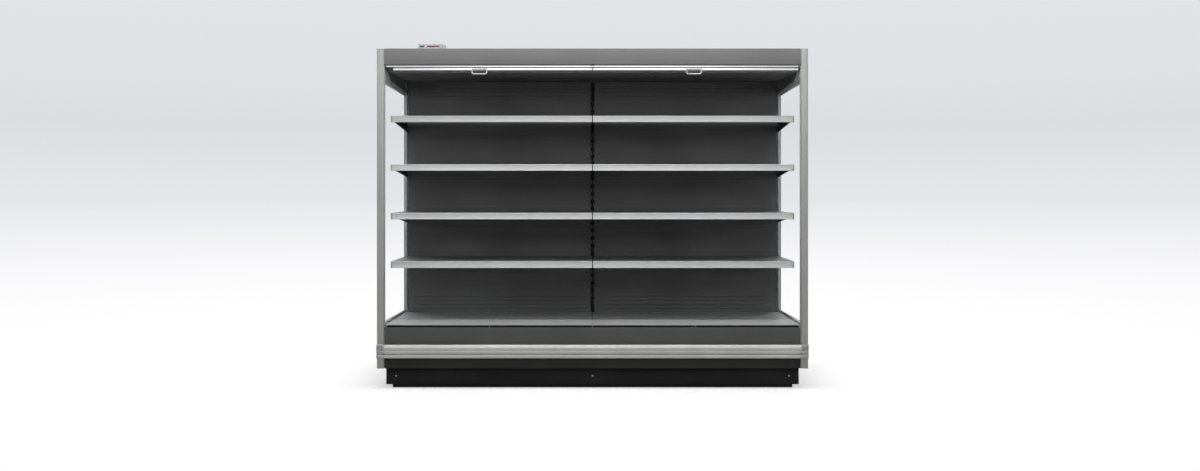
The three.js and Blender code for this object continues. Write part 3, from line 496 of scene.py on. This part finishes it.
low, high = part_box("kick_plate")
width = (low.x / MM, high.x / MM)
kick_coat = powder_coat("kick_plate_powder_coat", "#272728", "#333333", 0.65, 0.12)
plate = folded([(89.7, 20), (61, 20), (61, 140), (89.7, 140)], width, 1.5, 2)
make_piece(plate, "kick_plate_sheet", "cabinet", [kick_coat], ["kick_plate"])
blade = extruded([at(-1212, s, z) for s, z in [(66, 1.2), (69, 1.2), (69, 30), (66, 30)]], (2.424, 0, 0))
make_piece(ease(blade, 0.6), "floor_seal", "cabinet", [rubber])
for number, x in enumerate((-1190, 0, 1190), 1):
    head = turned([(0, 0), (5, 0), (5, 1.2), (4.2, 2.4), (2.4, 3), (2, 1.4), (0, 1.4)], 24)
    stand = Matrix.Translation(at(x, 60.9, 72)) @ Matrix.Rotation(math.pi / 2, 4, "X")
    bmesh.ops.transform(head, matrix=stand, verts=head.verts[:])
    make_piece(head, f"kick_plate_screw_{number}", "cabinet", [zinc])

# ---------------------------------------------------------------- front posts
# Anodised corner extrusions, from below the bumper to the fascia's top, with a rounded outer
# corner and a pale seal lip along the inner edge.

post_metal = anodised("anodised_post_extrusion", "#9FA09B", "#AFB0AB", 0.45, 0.3, (1, 1, 0.004))
post_lip = moulded("pale_seal_lip", "#C4C5C4", "#D0D1D0", 0.6)
for side, sign in (("left", -1), ("right", 1)):
    node = f"{side}_front_post"
    low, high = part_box(node)
    plan = [(1253.5, 34), (1253.5, 0), (1295, 0), (1295, 34)]
    post = extruded([at(sign * x, s, low.z / MM) for x, s in plan], (0, 0, high.z - low.z))
    outside = sign * 1295 * MM
    ease(
        post,
        7,
        6,
        where=lambda e: all(abs(v.co.x - outside) < 1e-5 and v.co.y < face + 1e-5 for v in e.verts),
    )
    ease(post, 1.2, 3)
    make_piece(post, f"{side}_post_extrusion", "cabinet", [post_metal], [node])
    plan = [(1250.2, 33.5), (1250.2, 6), (1253.3, 6), (1253.3, 33.5)]
    lip = extruded([at(sign * x, s, low.z / MM + 1) for x, s in plan], (0, 0, high.z - low.z - 2 * MM))
    make_piece(ease(lip, 0.4), f"{side}_post_lip", "cabinet", [post_lip])

# ---------------------------------------------------------------- glazed ends
# White coated foamed panels that thin towards the rear, each with a window of two low-reflection
# panes on a white spacer. A pale gasket holds the glass on both faces, with an anodised bead inside.

bead_metal = anodised("anodised_glazing_bead", "#A2A3A0", "#BFC0BD", 0.4, 0.7, (1, 0.02, 0.02))
sealant, tree, surface = finish("black_polysulphide_sealant", 0.6)
tree.links.new(between(tree, grain(tree, 8), "#0B0B0B", "#151515"), surface["Base Color"])
clear_glass, tree, surface = finish("low_reflection_glass", 0.03)
tree.links.new(between(tree, grain(tree, 70), "#E8EEEC", "#F4F8F7"), surface["Base Color"])
tree.links.new(levels(tree, grain(tree, 70), 0.0, 0.06), surface["Roughness"])
surface["Alpha"].default_value = 0.004

white_coat = powder_coat("white_powder_coat", "#DCDDDD", "#E6E7E7", 0.4)
grey_seal = moulded("pale_silicone_seal", "#C2C4C4", "#CFD1D1", 0.6)
spacer = moulded("white_warm_edge_spacer", "#D6D7D7", "#E2E3E3", 0.5)
thinning, panel_depth = 26, 780
for side, sign in (("left", -1), ("right", 1)):
    panel = eased_copy(f"{side}_end_frame", 1)
    for vert in panel.verts:
        if abs(vert.co.x) > 1.26:
            vert.co.x -= sign * (vert.co.y - face - 34 * MM) * thinning / panel_depth
    make_piece(panel, f"{side}_end_panel", "cabinet", [white_coat], [f"{side}_end_frame"])
    low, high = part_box(f"{side}_end_glass")
    back = (high.y - face) / MM
    corners = [(34.4, 388.4), (back, 388.4), (back, 1830.6), (34.4, 1859.2)]

    def ring(name, x_from, x_to, inset, width, material, eased):
        """A square-section ring that follows the window's edge, inset by some millimetres."""
        bm = bmesh.new()
        bm.faces.new([bm.verts.new(at(sign * x_from, *corner)) for corner in corners])
        even = {"use_even_offset": True, "use_boundary": True}
        if inset:
            outer = bmesh.ops.inset_region(bm, faces=bm.faces[:], thickness=inset * MM, **even)["faces"]
            bmesh.ops.delete(bm, geom=outer, context="FACES")
        rim = bmesh.ops.inset_region(bm, faces=bm.faces[:], thickness=width * MM, **even)["faces"]
        middle = [f for f in bm.faces if f not in rim]
        bmesh.ops.delete(bm, geom=middle, context="FACES")
        pushed = bmesh.ops.extrude_face_region(bm, geom=bm.faces[:])["geom"]
        moved = [item for item in pushed if isinstance(item, bmesh.types.BMVert)]
        bmesh.ops.translate(bm, vec=(sign * (x_to - x_from) * MM, 0, 0), verts=moved)
        loose = [v for v in bm.verts if not v.link_faces]
        bmesh.ops.delete(bm, geom=loose, context="VERTS")
        bmesh.ops.recalc_face_normals(bm, faces=bm.faces[:])
        return make_piece(ease(bm, eased), f"{side}_{name}", "cabinet", [material])

    for name, x_from in (("inner_pane", 1256), ("outer_pane", 1264.8)):
        pane = extruded([at(sign * x_from, *corner) for corner in corners], (sign * 3 * MM, 0, 0))
        node = [f"{side}_end_glass"] if name == "inner_pane" else []
        make_piece(ease(pane, 0.4), f"{side}_{name}", "cabinet", [clear_glass], node)
    ring("glass_sealant", 1259.1, 1264.7, 0, 3, sealant, 0.2)
    ring("glass_spacer", 1259.1, 1264.7, 3.2, 4, spacer, 0.4)
    ring("inner_gasket", 1251.5, 1255.9, 0, 5, grey_seal, 0.8)
    ring("inner_bead", 1250.2, 1251.4, 0, 3, bead_metal, 0.3)
    ring("outer_gasket", 1267.9, 1269, 0, 5, grey_seal, 0.4)

# ---------------------------------------------------------------- rear wall and roof
# Foam-filled panels with galvanised outer skins, screwed to the tub and the end panels. Hot
# dip zinc shows crystals about 15 mm across and dulls unevenly.


def galvanised_sheet():
    """Hot dip galvanised steel: spangle crystals of 15 mm, each with its own grey and gloss."""
    made, tree, surface = finish("hot_dip_galvanised_steel", 0.45, 0.65)
    place = add(tree, "ShaderNodeTexCoord").outputs["Object"]
    wander = grain(tree, 25)
    bent = add(tree, "ShaderNodeVectorMath", {0: place, 1: (0.01, 0.01, 0.01), 2: place}, operation="ADD")
    spangle = add(tree, "ShaderNodeTexVoronoi", {"Vector": bent.outputs[0], "Scale": 1 / 0.015})
    crystal = add(tree, "ShaderNodeSeparateColor", {0: spangle.outputs["Color"]}).outputs[0]
    mixed = add(tree, "ShaderNodeMix", {0: 0.55, 2: crystal, 3: wander}).outputs[0]
    tree.links.new(between(tree, mixed, "#989C9E", "#B3B7B7"), surface["Base Color"])
    tree.links.new(levels(tree, mixed, 0.36, 0.55), surface["Roughness"])
    tree.links.new(relief(tree, grain(tree, 150), 0.5), surface["Normal"])
    return made


galvanised = galvanised_sheet()
for node, name in (("rear_wall", "foamed_rear_wall"), ("roof_panel", "foamed_roof")):
    make_piece(eased_copy(node, 1.2), name, "cabinet", [galvanised], [node])

# ---------------------------------------------------------------- cooling coil
# Aluminium fins pressed on copper tubes between galvanised tube sheets, which stand on the
# tub's floor and carry the deck pans.

low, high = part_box("evaporator_coil")
fin_metal = anodised("fin_stock_aluminium", "#8F9494", "#B5B9B9", 0.4, 0.8, (1, 1, 0.05))
fins = bmesh.new()
fin_count = 200
run = high.x - low.x - 20 * MM
pack = (0.4 * MM, high.y - low.y, 132 * MM)
for i in range(fin_count):
    x = low.x + 10 * MM + run * (i + 0.5) / fin_count
    place = Matrix.Translation((x, (low.y + high.y) / 2, low.z + 14 * MM + pack[2] / 2))
    bmesh.ops.create_cube(fins, size=1, matrix=place @ Matrix.Diagonal((*pack, 1)))
make_piece(fins, "coil_fins", "cabinet", [fin_metal], ["evaporator_coil"])

copper, tree, surface = finish("copper_tube", 0.35, 0.9)
tree.links.new(between(tree, grain(tree, 40), "#8A5A3E", "#B9815E"), surface["Base Color"])
tubes = bmesh.new()
for row in range(3):
    for column in range(7):
        place = Matrix.Translation((0, low.y + (25 + 40 * column) * MM, low.z + (36 + 44 * row) * MM))
        bmesh.ops.create_cone(
            tubes,
            cap_ends=True,
            segments=12,
            radius1=5 * MM,
            radius2=5 * MM,
            depth=high.x - low.x - 1 * MM,
            matrix=place @ Matrix.Rotation(math.pi / 2, 4, "Y"),
        )
make_piece(tubes, "coil_tubes", "cabinet", [copper])

for number, x in enumerate((low.x, -0.627, -0.002, 0.623, high.x - 4 * MM), 1):
    corners = [(x, low.y, low.z), (x, high.y, low.z), (x, high.y, high.z), (x, low.y, high.z)]
    stand = ease(extruded(corners, (4 * MM, 0, 0)), 0.6)
    make_piece(stand, f"coil_tube_sheet_{number}", "cabinet", [galvanised])

# ---------------------------------------------------------------- fans
# Three axial fans in a sloping galvanised sheet. Each has an enclosed motor on an arm below its
# opening and a moulded black rotor with five twisted blades.

tray = eased_copy("fan_tray", 0.4, 1)
motor_case, tree, surface = finish("black_lacquered_motor", 0.4)
tree.links.new(between(tree, grain(tree, 15), "#191A1B", "#26282A"), surface["Base Color"])
fans = [joint for joint in frame["joints"] if joint["name"].startswith("fan_")]
for joint in fans:
    centre, axis = Vector(joint["pos_m"]), Vector(joint["axis"])
    for polygon in tray.faces:
        offset = polygon.calc_center_median() - centre
        along = offset.dot(axis)
        if along < -5 * MM and (offset - along * axis).length < 45 * MM:
            polygon.material_index = 1
make_piece(tray, "fan_plenum_sheet", "cabinet", [galvanised, motor_case], ["fan_tray"])

rotor_plastic = moulded("black_glass_filled_nylon", "#121313", "#1C1D1D", 0.5)
for number, joint in enumerate(fans, 1):
    lean = Vector((0, 0, 1)).rotation_difference(Vector(joint["axis"])).to_matrix().to_4x4()
    rotor = turned([(5, 0), (28, 0), (30, 2), (30, 21), (27, 25), (22, 26), (0, 26)], 40)
    for blade_number in range(5):
        blade = bmesh.new()
        bmesh.ops.create_grid(blade, x_segments=8, y_segments=8, size=0.5)
        for vert in blade.verts:
            out, across = vert.co.x + 0.5, vert.co.y
            radius = (26 + 57 * out) * MM
            pitch = math.radians(42 - 16 * out)
            chord = (40 + 16 * math.sin(out * 2.2)) * MM * across
            camber = 4 * MM * (0.25 - across * across) * 4
            vert.co.x = radius - 6 * MM * across * across * out
            vert.co.y = chord * math.cos(pitch)
            vert.co.z = 13 * MM + chord * math.sin(pitch) * 0.72 + camber * 0.6
        bmesh.ops.solidify(blade, geom=blade.faces[:], thickness=2 * MM)
        turn = Matrix.Rotation(2 * math.pi * blade_number / 5, 4, "Z")
        bmesh.ops.transform(blade, matrix=turn, verts=blade.verts[:])
        joined = bpy.data.meshes.new("blade")
        blade.to_mesh(joined)
        blade.free()
        rotor.from_mesh(joined)
        bpy.data.meshes.remove(joined)
    place = Matrix.Translation(joint["pos_m"]) @ lean
    bmesh.ops.transform(rotor, matrix=place, verts=rotor.verts[:])
    node = f"fan_rotor_{number}"
    make_piece(rotor, f"fan_blades_{number}", joint["child"], [rotor_plastic], [node])

# ---------------------------------------------------------------- back panels
# Charcoal coated sheets that hide the rear air duct, one to a bay, punched with rows of small
# round holes that let cold air out over each shelf.

charcoal = powder_coat("charcoal_powder_coat", "#767677", "#818183", 0.6, 0.3)
shelf_tops = [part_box(f"shelf_{level}_left")[1].z / MM for level in range(1, 5)]
rows = [1877, 1850, 1823, 484, 457, 430, 403]
for top in shelf_tops:
    rows += [top + 18, top - 9, top - 72, top - 99]
pitch, hole, columns = 15, 6.4, 75
clear_of_middle = 50
for side, sign in (("left", -1), ("right", 1)):
    node = f"{side}_back_panel"
    low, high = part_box(node)
    holes_from = clear_of_middle if sign > 0 else -clear_of_middle - columns * pitch
    holes_to = holes_from + columns * pitch
    corners = [low, (high.x, low.y, low.z), (high.x, low.y, high.z), (low.x, low.y, high.z)]
    sheet = extruded(corners, (0, 1 * MM, 0))
    bmesh.ops.delete(sheet, geom=[f for f in sheet.faces if f.normal.y > -0.5], context="FACES")
    cuts = [((x * MM, 0, 0), (1, 0, 0)) for x in range(holes_from, holes_to + 1, pitch)]
    cuts += [((0, 0, (z + edge) * MM), (0, 0, 1)) for z in rows for edge in (-pitch / 2, pitch / 2)]
    for place, normal in cuts:
        all_of_it = sheet.verts[:] + sheet.edges[:] + sheet.faces[:]
        bmesh.ops.bisect_plane(sheet, geom=all_of_it, plane_co=place, plane_no=normal)

    def punched(polygon):
        """Whether this face is one of the square cells that holds a hole."""
        middle = polygon.calc_center_median()
        in_row = any(abs(middle.z / MM - z) < 1 for z in rows)
        return in_row and holes_from < middle.x / MM < holes_to

    cells = [polygon for polygon in sheet.faces if punched(polygon)]
    bmesh.ops.inset_individual(sheet, faces=cells, thickness=(pitch - hole) / 2 * MM, use_even_offset=True)
    corners = list(dict.fromkeys(vert for cell in cells for vert in cell.verts))
    bmesh.ops.bevel(
        sheet,
        geom=corners,
        offset=0.29 * hole * MM,
        segments=1,
        profile=0.5,
        affect="VERTICES",
        material=-1,
        clamp_overlap=True,
    )
    blanks = [f for f in sheet.faces if f.calc_area() < (hole * MM) ** 2 and len(f.verts) == 8]
    bmesh.ops.delete(sheet, geom=blanks, context="FACES")
    upright_edges = [
        e
        for e in sheet.edges
        if e.is_boundary and all(min(abs(v.co.x - low.x), abs(v.co.x - high.x)) < 1e-5 for v in e.verts)
    ]
    returned = bmesh.ops.extrude_edge_only(sheet, edges=upright_edges)["geom"]
    moved = [item for item in returned if isinstance(item, bmesh.types.BMVert)]
    bmesh.ops.translate(sheet, vec=(0, high.y - low.y, 0), verts=moved)
    bmesh.ops.recalc_face_normals(sheet, faces=sheet.faces[:])
    if sum(f.normal.y * f.calc_area() for f in sheet.faces) > 0:
        bmesh.ops.reverse_faces(sheet, faces=sheet.faces[:])
    bmesh.ops.solidify(sheet, geom=sheet.faces[:], thickness=1.5 * MM)
    make_piece(sheet, f"{side}_perforated_back", "cabinet", [charcoal], [node])

# ---------------------------------------------------------------- slotted uprights
# Roll-formed channels with a slot every 50 mm for the brackets' hooks, coated black but for a
# bare galvanised edge at the cabinet's ends. Two small tabs tie the middle one to the canopy.

upright_coat = powder_coat("black_upright_coat", "#191919", "#232323", 0.6, 0.15)
for node in ("left_upright", "right_upright"):
    channel = eased_copy(node, 0.3, 1)
    edge = 1243.2 * MM * (1 if node == "right_upright" else -1)
    everything = channel.verts[:] + channel.edges[:] + channel.faces[:]
    bmesh.ops.bisect_plane(channel, geom=everything, plane_co=(edge, 0, 0), plane_no=(1, 0, 0))
    for polygon in channel.faces:
        if abs(polygon.calc_center_median().x) < abs(edge):
            polygon.material_index = 1
    finishes = [galvanised, charcoal]
    make_piece(channel, f"{node}_channel", "cabinet", finishes, [node])
middle_channel = eased_copy("centre_upright", 0.3, 1)
make_piece(middle_channel, "centre_channel", "cabinet", [upright_coat], ["centre_upright"])
section = [(672, 1917), (704, 1917), (704, 1919.6), (672, 1919.6)]
for number, x in enumerate((-17, 5), 1):
    tab = extruded([at(x, *place) for place in section], (12 * MM, 0, 0))
    make_piece(ease(tab, 0.6), f"centre_tie_tab_{number}", "cabinet", [galvanised])

# ---------------------------------------------------------------- shelves
# Folded steel shelves, coated mid grey, each screwed to two dark hooked brackets. The shelves'
# undersides take the brackets' dark grey as painted shade. The coat is slightly glossy on top, where goods
# have slid over it.

shelf_grey = powder_coat("grey_shelf_powder_coat", "#7C7D7D", "#8B8C8C", 0.38)
bracket_and_painted_shelf_shade_coat = powder_coat("dark_bracket_and_painted_shelf_shade_coat", "#3C3C3C", "#484848", 0.55, 0.25)
for level in range(1, 5):
    for side in ("left", "right"):
        node = f"shelf_{level}_{side}"
        tray = eased_copy(node, 0.5)
        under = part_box(node)[1].z - 25.5 * MM
        for polygon in tray.faces:
            middle = polygon.calc_center_median()
            off_centre = abs(middle.x) / MM
            at_bracket = off_centre < 9 or 1237 < off_centre < 1243
            # Downward faces take the dark bracket coat as painted shade under each shelf.
            painted_shade_below = polygon.normal.z < -0.7
            if painted_shade_below or at_bracket and (middle.z < under or middle.y > face + 0.701):
                polygon.material_index = 1
        make_piece(tray, f"{node}_tray", node, [shelf_grey, bracket_and_painted_shelf_shade_coat], [node])

# ---------------------------------------------------------------- ticket rails
# Anodised extrusions clipped along the shelves' fronts: a flat ticket channel between two
# beads. A moulded cap rounds off each outer end and a flat one closes the inner end.

rail_metal = anodised("anodised_ticket_rail", "#E2E2E2", "#F0F0F0", 0.45, 0.1, (0.004, 1, 1))
rail_cap = moulded("silver_moulded_cap", "#C6C7C7", "#D6D7D7", 0.4)
for level, top in enumerate(shelf_tops, 1):
    for side, sign in (("left", -1), ("right", 1)):
        shelf = f"shelf_{level}_{side}"
        node = f"price_rail_{level}_{side}"
        path = [
            (185.6, -40),
            (173, -40),
            (171.2, -38.8),
            (171, -36),
            (171.2, -34),
            (172.6, -33.4),
            (172.6, -7),
            (171.2, -6.4),
            (171, -4),
            (171.4, -1.2),
            (173, 0),
            (185.6, 0),
        ]
        ends = (4.5, 1235) if sign > 0 else (-1235, -4.5)
        rail = folded([(s, top + z) for s, z in path], ends, 1.4, 0.5)
        make_piece(rail, f"{node}_extrusion", shelf, [rail_metal], [node])
        corners = [(1235, 171.2), (1247, 171.2), (1247, 185.6), (1235, 185.6)]
        cap = extruded([at(sign * x, s, top - 40) for x, s in corners], (0, 0, 40 * MM))
        outside = sign * 1247 * MM
        front, foot = face + 172 * MM, (top - 39) * MM
        ease(
            cap,
            10,
            6,
            where=lambda e: all(abs(v.co.x - outside) < 1e-5 and v.co.y < front for v in e.verts),
        )
        ease(
            cap,
            9,
            5,
            where=lambda e: all(abs(v.co.x - outside) < 1e-5 and v.co.z < foot for v in e.verts),
        )
        ease(cap, 1.2, 3, corner=50)
        make_piece(cap, f"{node}_outer_cap", shelf, [rail_cap])
        corners = [(2.5, 171.2), (4.5, 171.2), (4.5, 185.6), (2.5, 185.6)]
        plug = extruded([at(sign * x, s, top - 40) for x, s in corners], (0, 0, 40 * MM))
        make_piece(ease(plug, 0.6), f"{node}_inner_cap", shelf, [rail_cap])

# ---------------------------------------------------------------- deck pans
# Four lift-out folded pans over the coil, coated pale grey, that lie side by side on the tube
# sheets and the return grille. A thin black strip covers the front edge of each, which darkens that edge.

deck_grey = powder_coat("pale_grey_deck_powder_coat", "#BEBFBF", "#C9CACA", 0.45)
for number in range(1, 5):
    node = f"deck_pan_{number}"
    pan = eased_copy(node, 2.5, 4)
    make_piece(pan, f"deck_tray_{number}", f"deck_{number}", [deck_grey], [node])
    low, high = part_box(node)
    # A black strip 1.4 mm thick covers each pan's front edge from 353 to 378 mm up, darkening it.
    front = [(56.4, 353), (57.8, 353), (57.8, 378), (56.4, 377)]
    strip = extruded([at(low.x / MM + 1, *place) for place in front], (high.x - low.x - 2 * MM, 0, 0))
    make_piece(ease(strip, 0.4), f"deck_edge_strip_{number}", f"deck_{number}", [rubber])

# ---------------------------------------------------------------- return grille
# Black moulded strip with long slots, in the gap in front of the deck, where the air curtain
# is drawn back in.

black_plastic = moulded("black_abs", "#0F0F0F", "#191919", 0.5)
grille = eased_copy("return_grille", 0.5, 1)
make_piece(grille, "slotted_return_grille", "cabinet", [black_plastic], ["return_grille"])

# ---------------------------------------------------------------- canopy lining and air outlet
# Charcoal sheet under the canopy with a tapering cheek at each end, edged in aluminium, and in
# front of it a moulded honeycomb that straightens the cold air as it falls.

lining = eased_copy("canopy_liner", 0.5)
make_piece(lining, "canopy_lining", "cabinet", [charcoal], ["canopy_liner"])

edge_metal = anodised("anodised_edge_trim", "#A9AAAA", "#C0C1C1", 0.4, 0.4, (1, 0.01, 0.2))
for side, sign in (("left", -1), ("right", 1)):
    path = [(71.5, 1919), (71.5, 1914), (163, 1866.3), (707, 1844.3), (707, 1849.6), (166, 1871.6)]
    trim = extruded([at(sign * 1243, *place) for place in path], (sign * 6.4 * MM, 0, 0))
    make_piece(ease(trim, 0.8), f"{side}_cheek_trim", "cabinet", [edge_metal])

low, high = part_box("air_outlet")
honeycomb_plastic = moulded("pale_grey_honeycomb_plastic", "#CACBCA", "#D8D9D8", 0.55)
comb = bmesh.new()
bmesh.ops.create_grid(comb, x_segments=208, y_segments=8, size=0.5)
shape = Matrix.Diagonal((high.x - low.x, high.y - low.y, 1, 1))
middle = Matrix.Translation(((low.x + high.x) / 2, (low.y + high.y) / 2, low.z))
bmesh.ops.transform(comb, matrix=middle @ shape, verts=comb.verts[:])
cells = comb.faces[:]
bmesh.ops.inset_individual(comb, faces=cells, thickness=0.8 * MM, use_even_offset=True)
bmesh.ops.delete(comb, geom=cells, context="FACES")
bmesh.ops.solidify(comb, geom=comb.faces[:], thickness=-(high.z - low.z - 0.2 * MM))
make_piece(comb, "honeycomb_outlet", "cabinet", [honeycomb_plastic], ["air_outlet"])

# ---------------------------------------------------------------- fascia
# Grey coated front of the canopy, pressed from one sheet and hooked over the roof panel.

low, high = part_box("fascia")
width = (low.x / MM, high.x / MM)
fascia_grey = powder_coat("fascia_grey_powder_coat", "#777777", "#808080", 0.45)
fascia = folded([(11.7, 1951), (0, 1951), (0, 2047), (40, 2047)], width, 1.5, 2)
make_piece(fascia, "pressed_fascia", "cabinet", [fascia_grey], ["fascia"])

# ---------------------------------------------------------------- night blinds
# An anodised cassette under the roof holds two spring rollers. Each blind is aluminised woven
# cloth that ends in a pull bar with a white D handle. Moulded plugs close the bars' ends.

# This grey is the cassette's own finish and is also the painted shade on the pull bars' undersides.
cassette_and_painted_bar_shade_metal = anodised("anodised_cassette_and_painted_bar_shade", "#8C8C8C", "#9A9A9A", 0.45, 0.2, (0.004, 1, 1))
bright_metal = anodised("bright_anodised_bead", "#EAEAEA", "#F6F6F6", 0.28, 0.85, (0.004, 1, 1))
cassette = eased_copy("blind_cassette", 0.4)
finishes = [cassette_and_painted_bar_shade_metal]
make_piece(cassette, "blind_cassette_channel", "cabinet", finishes, ["blind_cassette"])
low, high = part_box("blind_cassette")
section = [(11.9, 1937.1), (9.4, 1937.1), (9.4, 1944.6), (11.9, 1944.6)]
bead = extruded([at(low.x / MM + 12, *place) for place in section], (high.x - low.x - 24 * MM, 0, 0))
make_piece(ease(bead, 1.2, 3), "cassette_lip_bead", "cabinet", [bright_metal])
section = [(7.5, 1943), (11.8, 1943), (11.8, 1950.6), (7.5, 1950.6)]
clip = extruded([at(-9, *place) for place in section], (18 * MM, 0, 0))
make_piece(ease(clip, 1), "cassette_joint_clip", "cabinet", [black_plastic])


def blind_cloth():
    """Woven polyester with an aluminised face: 4 mm weave, drawn coarse enough to show."""
    made, tree, surface = finish("aluminised_woven_cloth", 0.6, 0.25)
    place = add(tree, "ShaderNodeTexCoord").outputs["Object"]
    threads = {"Vector": place, "Scale": 2 * math.pi / (20 * 0.004)}
    warp = add(tree, "ShaderNodeTexWave", threads, wave_type="BANDS", bands_direction="X").outputs["Fac"]
    weft = add(tree, "ShaderNodeTexWave", threads, wave_type="BANDS", bands_direction="Z").outputs["Fac"]
    weave = add(tree, "ShaderNodeMath", {0: warp, 1: weft}, operation="MULTIPLY").outputs[0]
    tree.links.new(between(tree, weave, "#AEB1B0", "#CDD0CE"), surface["Base Color"])
    tree.links.new(relief(tree, weave, 0.2), surface["Normal"])
    return made


cloth = blind_cloth()
handle_plastic = moulded("white_moulded_nylon", "#D9D9D7", "#E9E9E7", 0.4)
handles = {"left": -680, "right": 611}
for side, sign in (("left", -1), ("right", 1)):
    node = f"{side}_blind_roller"
    low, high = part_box(node)
    length = (high.x - low.x) / MM
    wound = [(0, 0), (4, 0), (4, 8), (14, 8), (14, 12), (17.6, 12), (18, 13)]
    profile = wound + [(r, length - z) for r, z in reversed(wound)]
    roller = turned(profile, 40)
    axle = Matrix.Translation((low.x, (low.y + high.y) / 2, (low.z + high.z) / 2))
    lie = axle @ Matrix.Rotation(math.pi / 2, 4, "Y")
    bmesh.ops.transform(roller, matrix=lie, verts=roller.verts[:])
    make_piece(roller, f"{side}_wound_roller", f"{side}_roller", [cloth], [node])

    low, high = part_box(f"{side}_blind_fabric")
    tail = bmesh.new()
    bmesh.ops.create_grid(tail, x_segments=60, y_segments=24, size=0.5)
    upright = Matrix.Rotation(math.pi / 2, 4, "X")
    size = Matrix.Diagonal((high.x - low.x, 1, high.z - low.z, 1))
    centre = Matrix.Translation((low + high) / 2)
    bmesh.ops.transform(tail, matrix=centre @ size @ upright, verts=tail.verts[:])
    mesh = bpy.data.meshes.new(f"{side}_blind_cloth")
    tail.to_mesh(mesh)
    tail.free()
    mesh.materials.append(cloth)
    drop = bpy.data.objects.new(f"{side}_blind_cloth", mesh)
    scene.collection.objects.link(drop)
    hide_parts(f"{side}_blind_fabric")
    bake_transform(drop)

    low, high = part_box(f"{side}_blind_bar")
    front = [(24, 1934), (24, 1931.2), (20.2, 1930.2), (20.2, 1920.4), (21, 1919.6), (29, 1919.6)]
    section = front + [(29.8, 1916), (34.2, 1916), (34.2, 1934)]
    plug_length = 42 if side == "left" else 3
    ends = (4.5, 1241.7 - plug_length)
    points = [at(sign * ends[0], *place) for place in section]
    bar = extruded(points, (sign * (ends[1] - ends[0]) * MM, 0, 0))
    ease(bar, 1, 3)
    # Faces below the bar's lower step take the darker cassette finish as painted shade on its underside.
    for polygon in bar.faces:
        if polygon.calc_center_median().z < 1919.5 * MM:
            polygon.material_index = 1
    bar_metals_with_painted_shade = [bright_metal, cassette_and_painted_bar_shade_metal]
    make_piece(bar, f"{side}_pull_bar", f"{side}_blind", bar_metals_with_painted_shade, [f"{side}_blind_bar"])
    for end, x_from, x_to, material in (
        ("outer", ends[1], 1241.7, black_plastic),
        ("inner", 0.6, ends[0], handle_plastic),
    ):
        points = [at(sign * x_from, *place) for place in section]
        plug = extruded(points, (sign * (x_to - x_from) * MM, 0, 0))
        ease(plug, 0.8)
        make_piece(plug, f"{side}_bar_{end}_plug", f"{side}_blind", [material])

    centre = handles[side]
    loop = bpy.data.curves.new(f"{side}_handle_line", "CURVE")
    loop.dimensions = "3D"
    loop.bevel_depth = 4 * MM
    loop.bevel_resolution = 4
    spline = loop.splines.new("BEZIER")
    plan = [(-44.5, 1924), (-44.5, 1907), (-33.5, 1896.2), (33.5, 1896.2), (44.5, 1907), (44.5, 1924)]
    spline.bezier_points.add(len(plan) - 1)
    for point, (x, z) in zip(spline.bezier_points, plan):
        point.co = at(centre + x, 17.2, z)
        point.handle_left_type = point.handle_right_type = "FREE"
        point.handle_left = point.handle_right = point.co
    spline.use_cyclic_u = True
    bends, down, along = spline.bezier_points, Vector((0, 0, -6 * MM)), Vector((6 * MM, 0, 0))
    bends[1].handle_right = bends[1].co + down
    bends[2].handle_left = bends[2].co - along
    bends[3].handle_right = bends[3].co + along
    bends[4].handle_left = bends[4].co + down
    line = bpy.data.objects.new(f"{side}_handle_line", loop)
    scene.collection.objects.link(line)
    bpy.context.view_layer.update()
    tube = bpy.data.meshes.new_from_object(line.evaluated_get(bpy.context.evaluated_depsgraph_get()))
    handle = bmesh.new()
    handle.from_mesh(tube)
    bpy.data.objects.remove(line)
    bmesh.ops.remove_doubles(handle, verts=handle.verts[:], dist=1e-6)
    bmesh.ops.recalc_face_normals(handle, faces=handle.faces[:])
    make_piece(handle, f"{side}_pull_handle", f"{side}_blind", [handle_plastic])

# ---------------------------------------------------------------- electrical tray
# Galvanised cable tray on the roof with two openings in its front, which show a dark terminal
# block and a longer red-brown one.

low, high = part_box("electrical_tray")
cable_tray = eased_copy("electrical_tray", 0.3, 1)
dark_block = moulded("dark_terminal_plastic", "#303438", "#43484D", 0.5)
red_block = moulded("red_brown_terminal_plastic", "#5E3C3A", "#7A4E4A", 0.5)
for polygon in cable_tray.faces:
    middle = polygon.calc_center_median()
    inside = face + 319.5 * MM < middle.y < face + 350.5 * MM and middle.z > low.z + 4 * MM
    if inside and abs(middle.x - low.x) < 0.19 and middle.x < low.x + 0.058:
        polygon.material_index = 1
    elif inside and low.x + 0.06 < middle.x < low.x + 0.15:
        polygon.material_index = 2
finishes = [galvanised, dark_block, red_block]
make_piece(cable_tray, "roof_cable_tray", "cabinet", finishes, ["electrical_tray"])
